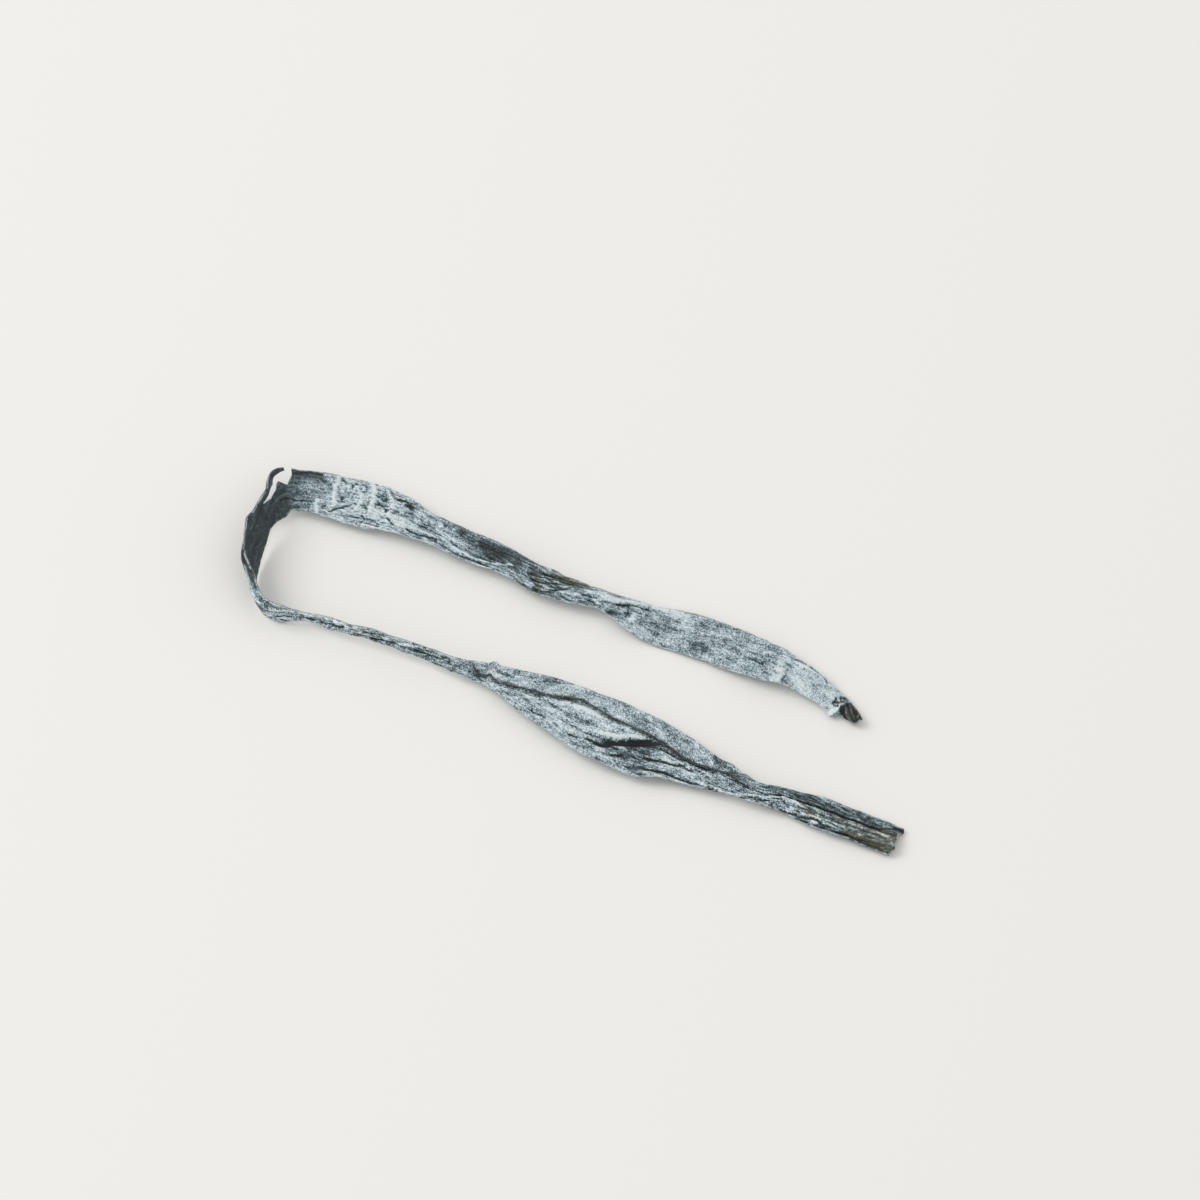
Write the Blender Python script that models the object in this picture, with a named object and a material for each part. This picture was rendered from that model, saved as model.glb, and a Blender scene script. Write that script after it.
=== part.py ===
"""A strip of dried kelp, lying loose. It is one thin ribbon. The upper arm runs from a small
curled tail to a loop on the left, where the ribbon stands on its front margin and turns
over, and the lower arm comes back with its other face up, a folded back margin and a cut
end. Sizes are in millimetres until the mesh is made. Plan sizes are written as seen from
the front, and PLAN_TURN then lays the two arms along X."""

import math

import bmesh
import bpy
import numpy as np

NODE = "kelp_strip"
THICK = 0.9  # of the dried blade
RIM_THICK = 0.6  # of its margins
RIM_REACH = 2.0  # how far from the margin the blade thins
PLAN_TURN = 25.0  # degrees
FLAT = 0.35  # how much of a lowest spot is pressed flat by the table
FOLD_LENGTH = 2.8  # of ribbon used by the bend of the folded margin
FOLD_ANGLE = 182.0  # degrees
EDGE_ZONE = 7.0  # of ribbon beside the back margin that has its own columns
ROWS_PER_MM = 0.225
MAIN_COLUMNS = 12
EDGE_COLUMNS = 7
BEND_COLUMNS = 4  # of the edge columns, on the bend of the folded margin
SHRED_COLUMNS = 4  # of the edge columns, torn off beside the loop
GIVING_COLUMNS = 6  # of the blade beside the slit
RIDGE_X, RIDGE, RIDGE_WIDTH = 84.0, 0.9, 2.4

# Cross-sections from the tail round to the cut end: the place of the middle, how far the
# ribbon shows on its back and front side of that, the roll about its run (0 on the upper
# arm, 180 on the lower), the bend across it (over 0 where the margins rise on face one),
# the width folded over, the depth of its three lengthwise lobes, and the curl of the
# back margin towards face one.
SECTIONS = (
    # x, y, z, back, front, roll, bend, folded, lobes, curl
    (114.6, -34.9, 2.4, 1.8, 1.6, 0, -190, 0, 0.0, 0),
    (112.2, -31.1, 3.3, 2.6, 2.5, 0, -200, 0, 0.2, 0),
    (110.8, -28.3, 2.9, 2.7, 3.6, 0, -150, 0, 0.2, 0),
    (109.9, -26.9, 2.6, 2.8, 8.6, 0, -60, 0, 0.0, 0),
    (100.0, -20.7, 3.2, 5.9, 5.5, 0, -40, 0, 0.0, 0),
    (90.0, -14.3, 4.0, 7.9, 6.0, -4, -30, 0, 0.0, 0),
    (79.2, -7.5, 4.4, 8.4, 9.5, -3, -24, 0, 0.0, 0),
    (66.0, -1.1, 3.2, 9.3, 10.1, 2, -20, 0, 0.0, 0),
    (50.0, 5.9, 1.8, 9.7, 9.3, 3, -14, 0, 0.0, 0),
    (36.0, 11.4, 2.1, 7.7, 9.8, 0, -20, 0, 0.0, 0),
    (24.0, 15.9, 4.0, 5.9, 7.8, -4, -34, 0, 0.2, 0),
    (12.0, 20.4, 5.2, 5.5, 3.7, -5, -56, 0, 0.6, 0),
    (-2.0, 25.5, 5.4, 6.3, 5.4, -2, -54, 0, 0.9, 0),
    (-13.2, 29.9, 4.8, 6.2, 5.2, 4, -30, 0, 1.2, 0),
    (-24.4, 36.8, 4.4, 7.0, 4.4, 6, -18, 0, 0.8, 0),
    (-40.0, 44.5, 4.8, 7.8, 5.3, 2, -24, 0, 0.5, 0),
    (-56.8, 54.1, 5.2, 7.4, 6.3, -3, -32, 0, 0.4, 0),
    (-68.4, 60.1, 4.6, 9.9, 8.1, -2, -18, 0, 0.0, 0),
    (-81.6, 65.9, 3.6, 10.4, 10.3, 3, 10, 0, 0.0, 0),
    (-97.2, 69.8, 4.0, 9.8, 9.0, 8, 16, 0, 0.0, 0),
    (-108.0, 72.0, 5.0, 8.8, 8.2, 15, 14, 0, 0.0, 0),
    (-114.2, 71.2, 6.2, 9.8, 8.0, 27, 10, 0, 0.0, 0),
    (-119.0, 65.4, 7.2, 6.3, 7.9, 44, 12, 0, 0.0, 0),
    (-122.6, 57.0, 8.0, 7.5, 5.5, 58, 18, 0, 0.0, 0),
    (-126.6, 47.6, 8.2, 8.4, 7.4, 62, 22, 0, 0.0, 4),
    (-129.0, 37.6, 7.8, 7.4, 8.2, 66, 26, 0, 0.0, 34),
    (-128.0, 28.2, 6.8, 6.4, 7.0, 74, 24, 0, 0.2, 60),
    (-123.8, 17.6, 5.8, 5.0, 4.6, 87, 16, 0, 0.5, 40),
    (-116.2, 14.0, 5.2, 4.9, 5.0, 96, 6, 0, 0.8, 10),
    (-108.0, 13.4, 4.4, 2.8, 2.8, 102, 0, 0, 0.8, 0),
    (-98.0, 10.8, 4.4, 2.6, 2.5, 108, 0, 0, 0.7, 0),
    (-88.0, 7.0, 5.0, 2.4, 2.4, 112, 0, 0, 0.7, 0),
    (-79.2, 3.8, 5.4, 2.5, 2.6, 114, 0, 0, 0.7, 0),
    (-70.4, 0.6, 5.4, 2.6, 2.7, 118, 0, 0, 0.7, 0),
    (-53.6, -6.6, 5.0, 2.8, 2.8, 130, 0, 0, 0.8, 0),
    (-42.0, -11.6, 4.4, 3.4, 3.2, 152, -10, 1.0, 0.7, 0),
    (-34.0, -14.4, 3.8, 4.8, 3.8, 170, -16, 4.4, 0.4, 0),
    (-24.0, -18.2, 3.3, 6.9, 7.2, 178, -18, 6.4, 0.2, 0),
    (-12.0, -25.0, 2.8, 10.8, 10.4, 180, -22, 7.2, 0.0, 0),
    (2.0, -32.6, 1.8, 13.0, 13.6, 181, -30, 4.4, 0.0, 0),
    (16.0, -39.4, 1.2, 13.8, 15.8, 182, -34, 6.8, 0.0, 0),
    (30.0, -46.5, 1.5, 12.8, 15.4, 180, -34, 6.4, 0.0, 0),
    (44.0, -53.5, 2.4, 10.4, 10.6, 177, -26, 7.8, 0.2, 0),
    (58.0, -60.6, 3.4, 6.0, 7.5, 174, -14, 3.8, 0.6, 0),
    (72.0, -68.0, 3.6, 4.1, 4.6, 174, 10, 1.0, 0.9, 0),
    (86.8, -73.3, 3.6, 6.0, 4.8, 178, 30, 0, 0.7, 0),
    (100.0, -79.6, 3.4, 8.8, 5.6, 182, 34, 0, 0.5, 0),
    (114.0, -85.1, 2.5, 8.4, 5.6, 183, 36, 0, 0.4, 0),
    (129.6, -91.1, 2.1, 7.4, 6.6, 182, 40, 0, 0.4, 0),
)
TAIL, CORNER, FIRST_TEAR, SECOND_TEAR = 3, 20, 21, 22  # cross-sections that bound the torn places
TURN = 28  # from here the sections belong to the lower arm

# Lengthwise folds that show: arm, x from and to, place across from and to (over 0 towards
# the back), height (under 0 for a crease), width and kind. A lap is a fold lying on the
# blade, steep on its back side.
FOLDS = (
    ("upper", -66, -30, 0.0, -1.5, -0.9, 0.9, "sharp"),
    ("upper", -67, -26, -4.4, -3.6, -0.9, 0.8, "sharp"),
    ("upper", -60, -34, 4.4, 3.6, 0.5, 2.0, "soft"),
    ("upper", -15, 4, 3.4, 4.6, -0.9, 0.8, "sharp"),
    ("upper", -17, 2, -0.2, 1.4, -0.8, 0.7, "sharp"),
    ("upper", -15, 0, -3.2, -3.6, -0.9, 0.8, "sharp"),
    ("upper", -6, 48, -1.6, 8.4, 1.1, 1.4, "soft"),
    ("upper", 15, 26, -2.6, -2.4, -1.3, 2.2, "soft"),
    ("upper", -100, -68, -7.2, -6.2, -0.8, 1.2, "sharp"),
    ("upper", -92, -74, 5.5, 7.5, 0.6, 1.4, "soft"),
    ("upper", 84, 104, 2.8, 2.0, -0.5, 0.9, "sharp"),
    ("lower", -25, -7, -9.0, 3.4, 0.7, 1.0, "sharp"),
    ("lower", -8, 30, 4.4, 5.0, 0.9, 1.4, "soft"),
    ("lower", 9, 35, -5.0, 7.0, 0.8, 1.4, "soft"),
    ("lower", 12, 36, -8.0, 6.0, -1.7, 2.0, "soft"),
    ("lower", -10, 14, -3.5, -5.0, -0.6, 1.1, "sharp"),
    ("lower", 26, 54, -6.0, -1.0, -0.7, 0.8, "sharp"),
    ("lower", 28, 56, -10.8, -6.2, -0.7, 0.8, "sharp"),
    ("lower", 34, 84, 1.0, 2.2, -1.3, 0.9, "sharp"),
    ("lower", 62, 96, -7.0, 2.4, 0.9, 2.6, "lap"),
    ("lower", 82, 136, 2.2, 3.6, -1.3, 0.9, "sharp"),
    ("lower", 78, 136, -5.6, -3.4, -1.3, 0.9, "sharp"),
    ("lower", 96, 134, -0.6, 0.4, -0.6, 0.6, "sharp"),
)


def smooth_step(value):
    value = np.clip(value, 0.0, 1.0)
    return value * value * (3.0 - 2.0 * value)


def curve_through(knots, values, places):
    """The values carried smoothly from knot to knot, without passing beyond them."""
    steps = np.diff(knots)
    rises = np.diff(values) / steps
    slopes = np.zeros(len(knots))
    slopes[0], slopes[-1] = rises[0], rises[-1]
    weight_one = 2.0 * steps[1:] + steps[:-1]
    weight_two = steps[1:] + 2.0 * steps[:-1]
    same_way = rises[:-1] * rises[1:] > 0.0
    first = np.where(same_way, rises[:-1], 1.0)
    second = np.where(same_way, rises[1:], 1.0)
    inner = (weight_one + weight_two) / (weight_one / first + weight_two / second)
    slopes[1:-1] = np.where(same_way, inner, 0.0)
    return hermite(knots, values, slopes, places)


def path_through(knots, values, places):
    """A rounder curve through the values, for the run of the ribbon."""
    slopes = np.gradient(values, knots)
    return hermite(knots, values, slopes, places)


def hermite(knots, values, slopes, places):
    index = np.clip(np.searchsorted(knots, places, side="right") - 1, 0, len(knots) - 2)
    step = knots[index + 1] - knots[index]
    part = (places - knots[index]) / step
    keep = 1.0 - part
    from_values = values[index] * (1.0 + 2.0 * part) * keep**2
    to_values = values[index + 1] * part**2 * (3.0 - 2.0 * part)
    from_slopes = slopes[index] * step * part * keep**2
    to_slopes = -slopes[index + 1] * step * part**2 * keep
    return from_values + to_values + from_slopes + to_slopes


TABLE = np.array(SECTIONS, float)
GAPS = np.linalg.norm(np.diff(TABLE[:, :3], axis=0), axis=1)
KNOTS = np.concatenate([[0.0], np.cumsum(GAPS)])


def ribbon_at(along, column):
    return curve_through(KNOTS, TABLE[:, column], along)


def spine_at(along):
    return np.stack([path_through(KNOTS, TABLE[:, i], along) for i in range(3)], axis=1)


def place_on(arm, x):
    """How far along the ribbon the given x lies on one of its arms."""
    part = slice(TURN + 1) if arm == "upper" else slice(TURN, None)
    order = np.argsort(TABLE[part, 0])
    return float(np.interp(x, TABLE[part, 0][order], KNOTS[part][order]))


def patchy(along, across, step_along, step_across, seed):
    """Smooth uneven values from -1 to 1 on a lattice of the given steps."""
    values = np.random.default_rng(seed).uniform(-1.0, 1.0, (512, 128))
    u = along / step_along + 7.0
    v = across / step_across + 60.0
    row = np.floor(u).astype(int)
    column = np.floor(v).astype(int)
    part_u = smooth_step(u - row)
    part_v = smooth_step(v - column)
    mixed = []
    for next_row in (0, 1):
        low = values[(row + next_row) % 512, column % 128]
        high = values[(row + next_row) % 512, (column + 1) % 128]
        mixed.append(low * (1 - part_v) + high * part_v)
    return mixed[0] * (1 - part_u) + mixed[1] * part_u


def relief(along, across, lobes, width):
    """How far the blade stands off its plain form: lobes, folds, ruffles and wrinkles.
    Over 0 is towards face one, which is the upper face only as far as the loop."""
    phase = across / np.maximum(width, 2.0) * math.pi * 3.0 + 0.7 * patchy(along, 0 * across, 17.0, 5.0, 4)
    seen = np.clip((KNOTS[TURN - 2] - along) / 8.0, -1.0, 1.0)
    height = seen * lobes * (np.sqrt(np.sin(phase + 0.4) ** 2 + 0.02) - 0.6)
    for arm, x_from, x_to, at_from, at_to, rise, breadth, kind in FOLDS:
        start, end = sorted((place_on(arm, x_from), place_on(arm, x_to)))
        if arm == "upper":
            at_from, at_to = at_to, at_from
        else:
            rise = -rise
        part = (along - start) / (end - start)
        centre = at_from + (at_to - at_from) * part + 0.35 * patchy(along, 0 * across, 9.0, 5.0, 5)
        fade = smooth_step(part * 4.0) * smooth_step((1.0 - part) * 4.0)
        off = (across - centre) / breadth
        if kind == "sharp":
            shape = np.exp(-np.abs(off))
        elif kind == "soft":
            shape = np.exp(-off * off)
        else:
            shape = np.where(off < 0.0, np.exp(-np.abs(off)), 1.0 - smooth_step(off * 3.0))
        height = height + rise * fade * shape
    # A ridge across the blade, after which it slopes down to the tail.
    past = (along - place_on("upper", RIDGE_X) - 0.25 * across) / RIDGE_WIDTH
    height = height + RIDGE * np.exp(-past * past) * smooth_step((4.0 - across) / 3.0)
    # A small rolled ring on the tail, where the blade ends.
    ring = np.hypot(along - KNOTS[TAIL] - 1.9, across + 1.1)
    height = height + 0.5 * np.exp(-(((ring - 1.5) / 0.45) ** 2)) - 0.5 * np.exp(-((ring / 0.9) ** 2))
    ruffle = patchy(along, 0 * across, 11.0, 5.0, 11) * np.minimum(np.abs(across) / 11.0, 1.0) ** 2
    wrinkle = patchy(along, across, 13.0, 1.9, 12) * (0.24 + 0.22 * lobes)
    lump = patchy(along, across, 8.0, 5.0, 13) * 0.5
    return height + 0.8 * ruffle + wrinkle + lump


def margins(along):
    """The back and front half-widths with their small unevenness, nicks and torn bits."""
    back = ribbon_at(along, 3) + 0.22 * patchy(along, 0 * along, 6.0, 5.0, 21)
    front = ribbon_at(along, 4) + 0.22 * patchy(along, 0 * along, 5.0, 5.0, 22)
    torn_bit, step, spike = place_on("lower", 62), place_on("upper", -77), place_on("lower", -32)
    flare, shoulder = KNOTS[TURN - 3] + 0.5, KNOTS[TURN - 4] - 3.5
    bits = ((torn_bit, 6.0, 1.3), (step, 5.0, 0.8), (spike, 2.2, 1.6), (flare, 3.6, 1.3), (shoulder, 4.0, 1.0))
    for place, length, size in bits:
        back = back + size * np.clip(1.0 - np.abs(along - place) / length, 0.0, 1.0)
    return back, front


def section(along, share):
    """The cross-section at each place: how far its points lie from the middle and how high,
    and how far across the opened blade. The share runs from the front margin (0) to the
    back one (1)."""
    back, front = margins(along)
    folded = ribbon_at(along, 7)
    fold = FOLD_ANGLE * smooth_step(folded / 3.0)
    length = developed_width(along)
    fine = np.linspace(0.0, 1.0, 401)
    bend_from = 1.0 - (folded + FOLD_LENGTH) / length
    # Beyond the fold the margin follows the blade that it lies on.
    turned_at = 1.0 - (folded + FOLD_LENGTH / 2.0) / length * fold / FOLD_ANGLE
    followed = np.minimum(fine, 2.0 * turned_at[:, None] - fine)
    angle = ribbon_at(along, 6)[:, None] * (followed - 0.5)
    bend = (fine - bend_from[:, None]) * (length / FOLD_LENGTH)[:, None]
    angle = angle - fold[:, None] * smooth_step(bend)
    curl_from = 1.0 - 5.0 / length
    curl = np.clip((fine - curl_from[:, None]) / (1.0 - curl_from[:, None]), 0.0, 1.0)
    angle = np.radians(angle + ribbon_at(along, 9)[:, None] * curl)
    step = (length / 400.0)[:, None]
    middle = (angle[:, 1:] + angle[:, :-1]) / 2.0
    zero = np.zeros((len(along), 1))
    x = np.concatenate([zero, np.cumsum(np.cos(middle) * step, axis=1)], axis=1)
    h = np.concatenate([zero, np.cumsum(np.sin(middle) * step, axis=1)], axis=1)
    low = x.min(axis=1, keepdims=True)
    scale = (back + front)[:, None] / (x.max(axis=1, keepdims=True) - low)
    x = (x - low) * scale - front[:, None]
    h = h * scale
    at_middle = np.argmin(np.abs(x) + 10.0 * (fine > bend_from[:, None]), axis=1)
    rows = np.arange(len(along))
    h = h - h[rows, at_middle][:, None]
    across = (fine - fine[at_middle][:, None]) * length[:, None]
    x, h, across = (np.array([np.interp(share[i], fine, value[i]) for i in rows]) for value in (x, h, across))
    return x, h, across


def columns_of(along, length):
    """The share of the width at each column, closer together at the folded margin."""
    folded = ribbon_at(along, 7)
    foldness = smooth_step(folded / 3.0)
    bend = FOLD_LENGTH + 0.6
    zone = np.minimum(EDGE_ZONE, 0.36 * length) * (1 - foldness) + (folded + bend) * foldness
    bend_part = (bend / (folded + bend))[:, None]
    on_bend = bend_part * np.linspace(0.0, 1.0, BEND_COLUMNS + 1)
    past_bend = bend_part + (1 - bend_part) * np.linspace(0.0, 1.0, EDGE_COLUMNS - BEND_COLUMNS + 1)[1:]
    uneven = np.concatenate([on_bend, past_bend], axis=1)
    even = np.linspace(0.0, 1.0, EDGE_COLUMNS + 1)
    inner = even * (1 - foldness)[:, None] + uneven * foldness[:, None]
    start = (1.0 - zone / length)[:, None]
    main_part = start * np.linspace(0.0, 1.0, MAIN_COLUMNS + 1)[:-1]
    return np.concatenate([main_part, start + (1.0 - start) * inner], axis=1)


def middle_surface(along, share):
    """Points of the middle of the plain blade, and the height of its relief there."""
    x, h, across = section(along, share)
    spine = spine_at(along)
    # The ribbon turns over a few millimetres, so that its inner margin doesn't bunch.
    tangent = spine_at(np.minimum(along + 4.0, KNOTS[-1])) - spine_at(np.maximum(along - 4.0, 0.0))
    tangent /= np.linalg.norm(tangent, axis=1, keepdims=True)
    side = np.cross(tangent, [0.0, 0.0, 1.0])
    side /= np.linalg.norm(side, axis=1, keepdims=True)
    rise = np.cross(side, tangent)
    roll = np.radians(path_through(KNOTS, TABLE[:, 5], along))[:, None]
    over = np.cos(roll) * side + np.sin(roll) * rise
    normal = np.cross(over, tangent)
    width = (ribbon_at(along, 3) + ribbon_at(along, 4))[:, None]
    points = spine[:, None, :] + x[:, :, None] * over[:, None, :] + h[:, :, None] * normal[:, None, :]
    # Both ends are cut and broken unevenly.
    ragged = 0.8 * patchy(0 * across, across, 9.0, 1.5, 31) + 1.0 * np.exp(-((across - 6.3) ** 2))
    from_cut = smooth_step(1.0 - (KNOTS[-1] - along) / 4.0)[:, None] * ragged
    from_tail = smooth_step(1.0 - along / 2.0)[:, None] * ragged * 0.5
    points = points + (from_cut + from_tail)[:, :, None] * tangent[:, None, :]
    off = relief(along[:, None] + 0 * across, across, ribbon_at(along, 8)[:, None], width)
    # The folded margin and the blade under it stay nearly plain, clear of each other.
    folded = ribbon_at(along, 7)[:, None]
    to_margin = developed_width(along)[:, None] * (1.0 - share)
    under = smooth_step((2.0 * folded + FOLD_LENGTH + 3.4 - to_margin) / 2.8) * smooth_step(folded / 1.5)
    # So does the inner margin where the run turns sharply.
    turning = np.exp(-(((along - KNOTS[TURN - 3]) / 20.0) ** 2))[:, None] * smooth_step((0.4 - share) / 0.4)
    return points, off * (1.0 - 0.85 * under) * (1.0 - 0.85 * turning)


def row_places():
    """Places along the ribbon, with rows at the ends of each torn place."""
    corner = KNOTS[CORNER] + 3.0
    tip = KNOTS[FIRST_TEAR] - 1.5
    root = KNOTS[SECOND_TEAR] + 5.0
    fine = [(0.0, KNOTS[TAIL], 2.2), (KNOTS[TAIL], corner, 1.0), (corner, tip, 2.4), (tip, root, 2.0)]
    fine += [(root, KNOTS[TURN], 1.35), (KNOTS[TURN], KNOTS[-1], 1.0)]
    places = [0.0]
    marks = []
    for start, end, density in fine:
        count = max(2, round((end - start) * ROWS_PER_MM * density))
        places.extend(np.linspace(start, end, count + 1)[1:])
        marks.append(len(places) - 1)
    return np.array(places), marks[1], marks[2], marks[3]


def torn_shift(along, corner, tip, root):
    """How far the torn boundary of the blade draws back from the slit beside the shred."""
    part = np.clip((root - along) / (root - tip), 0.0, 1.0)
    tooth = 1.9 * np.clip(1.0 - np.abs(part - 0.8) / 0.13, 0.0, 1.0)
    shift = 0.4 * np.clip(part * 9.0, 0.0, 1.0) + 3.2 * part - tooth
    shift -= 4.4 * np.clip((tip - along) / (tip - corner), 0.0, 1.0)
    return np.where((along >= corner) & (along < root), shift, 0.0)


def shred_width(along, tip, root):
    """How much of its width the shred keeps towards its pointed tip."""
    part = np.clip((root - along) / (root - tip), 0.0, 1.0)
    tooth = 0.24 * np.clip(1.0 - np.abs(part - 0.62) / 0.12, 0.0, 1.0)
    point = 0.25 * np.clip((part - 0.86) / 0.14, 0.0, 1.0)
    return 1.0 - 0.36 * smooth_step((part - 0.15) / 0.4) + tooth - point


def developed_width(along):
    back, front = margins(along)
    folded = ribbon_at(along, 7)
    return back + front + folded + FOLD_LENGTH * smooth_step(folded / 3.0) * 0.5


def build():
    """The points of the middle of the blade, the height of its relief and its faces."""
    along, corner, tip, root = row_places()
    length = developed_width(along)
    share = columns_of(along, length)
    columns = share.shape[1]
    slit = columns - 1 - SHRED_COLUMNS
    # The blade beside the shred gives way over its columns next to the slit.
    give = np.clip((np.arange(columns) - slit + GIVING_COLUMNS) / GIVING_COLUMNS, 0.0, 1.0)
    give[slit + 1 :] = 0.0
    drawn = torn_shift(along, along[corner], along[tip], along[root])[:, None] * give[None, :]
    blade, blade_off = middle_surface(along, np.clip(share - drawn / length[:, None], 0.0, 1.0))
    kept = shred_width(along, along[tip], along[root])[:, None]
    whole, whole_off = middle_surface(along, 1.0 - (1.0 - share) * kept)
    rows = len(along)
    blade_index = np.full((rows, columns), -1)
    shred_index = np.full((rows, columns), -1)
    points = []
    heights = []
    for i in range(rows):
        for j in range(columns):
            gone = corner < i < root and j > slit
            if not gone:
                blade_index[i, j] = len(points)
                points.append(blade[i, j])
                heights.append(blade_off[i, j])
    for i in range(tip, root + 1):
        for j in range(slit, columns):
            if i == root:
                shred_index[i, j] = blade_index[i, j]
            else:
                shred_index[i, j] = len(points)
                points.append(whole[i, j])
                heights.append(whole_off[i, j])
    quads = []
    for i in range(rows - 1):
        for j in range(columns - 1):
            if corner <= i < root and j >= slit:
                index = shred_index
                if i < tip:
                    continue
            else:
                index = blade_index
            quads.append((index[i, j], index[i + 1, j], index[i + 1, j + 1], index[i, j + 1]))
    return np.array(points), np.array(heights), np.array(quads)


def thicken(points, heights, quads):
    """Both faces of the blade, with their relief, and the walls round its margins."""
    diagonal_one = points[quads[:, 2]] - points[quads[:, 0]]
    diagonal_two = points[quads[:, 3]] - points[quads[:, 1]]
    facing = np.cross(diagonal_one, diagonal_two)
    normal = np.zeros_like(points)
    for corner in range(4):
        np.add.at(normal, quads[:, corner], facing)
    normal /= np.linalg.norm(normal, axis=1, keepdims=True)
    edges = {}
    for quad in quads:
        for k in range(4):
            a, b = int(quad[k]), int(quad[(k + 1) % 4])
            if (b, a) in edges:
                del edges[(b, a)]
            else:
                edges[(a, b)] = True
    rim = sorted({end for pair in edges for end in pair})
    near = np.full(len(points), THICK)
    rim_points = points[rim]
    for start in range(0, len(points), 2000):
        offsets = points[start : start + 2000, None, :] - rim_points[None, :, :]
        inward = smooth_step(np.linalg.norm(offsets, axis=2).min(axis=1) / RIM_REACH)
        near[start : start + 2000] = RIM_THICK + (THICK - RIM_THICK) * inward
    upper = points + normal * (heights + near / 2.0)[:, None]
    lower = points + normal * (heights - near / 2.0)[:, None]
    count = len(points)
    faces = []
    for a, b, c, d in quads:
        faces.append((a, b, c))
        faces.append((a, c, d))
        faces.append((c + count, b + count, a + count))
        faces.append((d + count, c + count, a + count))
    for a, b in edges:
        faces.append((b, a, a + count))
        faces.append((b, a + count, b + count))
    return np.concatenate([upper, lower]), faces


def laid(points):
    """Turned so that the arms run along X, set down on the table and centred."""
    turn = math.radians(PLAN_TURN)
    x = points[:, 0] * math.cos(turn) - points[:, 1] * math.sin(turn)
    y = points[:, 0] * math.sin(turn) + points[:, 1] * math.cos(turn)
    z = np.maximum(points[:, 2] - points[:, 2].min() - FLAT, 0.0)
    return np.stack([x - (x.min() + x.max()) / 2, y - (y.min() + y.max()) / 2, z], axis=1)


def main():
    for item in list(bpy.data.objects):
        bpy.data.objects.remove(item)
    points, faces = thicken(*build())
    points = laid(points)
    mesh = bpy.data.meshes.new(NODE)
    mesh.from_pydata((points * 0.001).tolist(), [], [tuple(int(v) for v in face) for face in faces])
    work = bmesh.new()
    work.from_mesh(mesh)
    bmesh.ops.recalc_face_normals(work, faces=work.faces)
    work.to_mesh(mesh)
    work.free()
    strip = bpy.data.objects.new(NODE, mesh)
    bpy.context.scene.collection.objects.link(strip)
    skin = bpy.data.materials.new("kelp")
    skin.use_nodes = True
    shader = skin.node_tree.nodes["Principled BSDF"]
    shader.inputs["Base Color"].default_value = (0.20, 0.25, 0.25, 1.0)
    shader.inputs["Roughness"].default_value = 0.75
    shader.inputs["Metallic"].default_value = 0.0
    mesh.materials.append(skin)


main()
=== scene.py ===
import math

import bpy
import numpy as np
from mathutils import Matrix, Vector


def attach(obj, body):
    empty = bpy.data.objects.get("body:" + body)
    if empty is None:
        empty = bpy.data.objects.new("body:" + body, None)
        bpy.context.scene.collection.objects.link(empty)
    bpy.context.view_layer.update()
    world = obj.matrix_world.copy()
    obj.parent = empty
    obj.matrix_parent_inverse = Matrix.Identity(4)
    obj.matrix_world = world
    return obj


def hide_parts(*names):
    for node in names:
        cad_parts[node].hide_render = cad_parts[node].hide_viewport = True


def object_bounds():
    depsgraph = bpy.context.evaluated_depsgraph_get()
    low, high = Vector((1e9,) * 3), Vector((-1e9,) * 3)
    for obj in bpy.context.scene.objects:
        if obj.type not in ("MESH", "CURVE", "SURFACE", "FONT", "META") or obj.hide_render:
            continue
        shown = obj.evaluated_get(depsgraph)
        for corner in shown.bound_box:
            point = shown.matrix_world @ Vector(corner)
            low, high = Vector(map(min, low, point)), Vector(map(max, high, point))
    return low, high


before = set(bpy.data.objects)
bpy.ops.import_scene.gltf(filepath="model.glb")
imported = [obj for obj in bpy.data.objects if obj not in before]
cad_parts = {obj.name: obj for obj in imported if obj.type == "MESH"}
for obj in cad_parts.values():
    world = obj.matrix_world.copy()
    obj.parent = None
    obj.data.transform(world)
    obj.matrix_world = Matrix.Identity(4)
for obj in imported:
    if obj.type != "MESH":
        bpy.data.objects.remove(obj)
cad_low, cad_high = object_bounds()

THICK = 0.9  # of the dried blade
RIM_THICK = 0.6  # of its margins
RIM_REACH = 2.0  # how far from the margin the blade thins
PLAN_TURN = 25.0  # degrees between the arms' run and the view
FLAT = 0.35  # how much of a lowest spot is pressed flat by the table
FOLD_LENGTH = 2.8  # of ribbon used by the bend of the folded margin
FOLD_ANGLE = 182.0  # degrees
FULL_FOLD = 3.0  # folded over this far, a margin is turned the whole way
EDGE_ZONE = 7.0  # of ribbon beside the back margin that has its own columns
ROWS_PER_MM = 1.04
MAIN_COLUMNS, EDGE_COLUMNS, BEND_COLUMNS, SHRED_COLUMNS = 48, 28, 16, 16
GIVING_COLUMNS = 24  # of the blade beside the slit
SLIT_COLUMN = 0.42  # width of a column beside the slit
RIDGE_X, RIDGE, RIDGE_WIDTH = 84.0, 0.9, 2.4  # across the blade, before its tail
STEPS = 400  # in which the curve of a cross-section is worked out
LATTICE = (512, 128)  # random values that all unevenness is read from, over and over
FACES_APART = 3.0  # in the pattern of the finish, so that the two faces differ
BUMP_DEPTH = 0.0006  # metres
MM, METRE = 0.001, 1000.0  # in metres, and in millimetres

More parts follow.
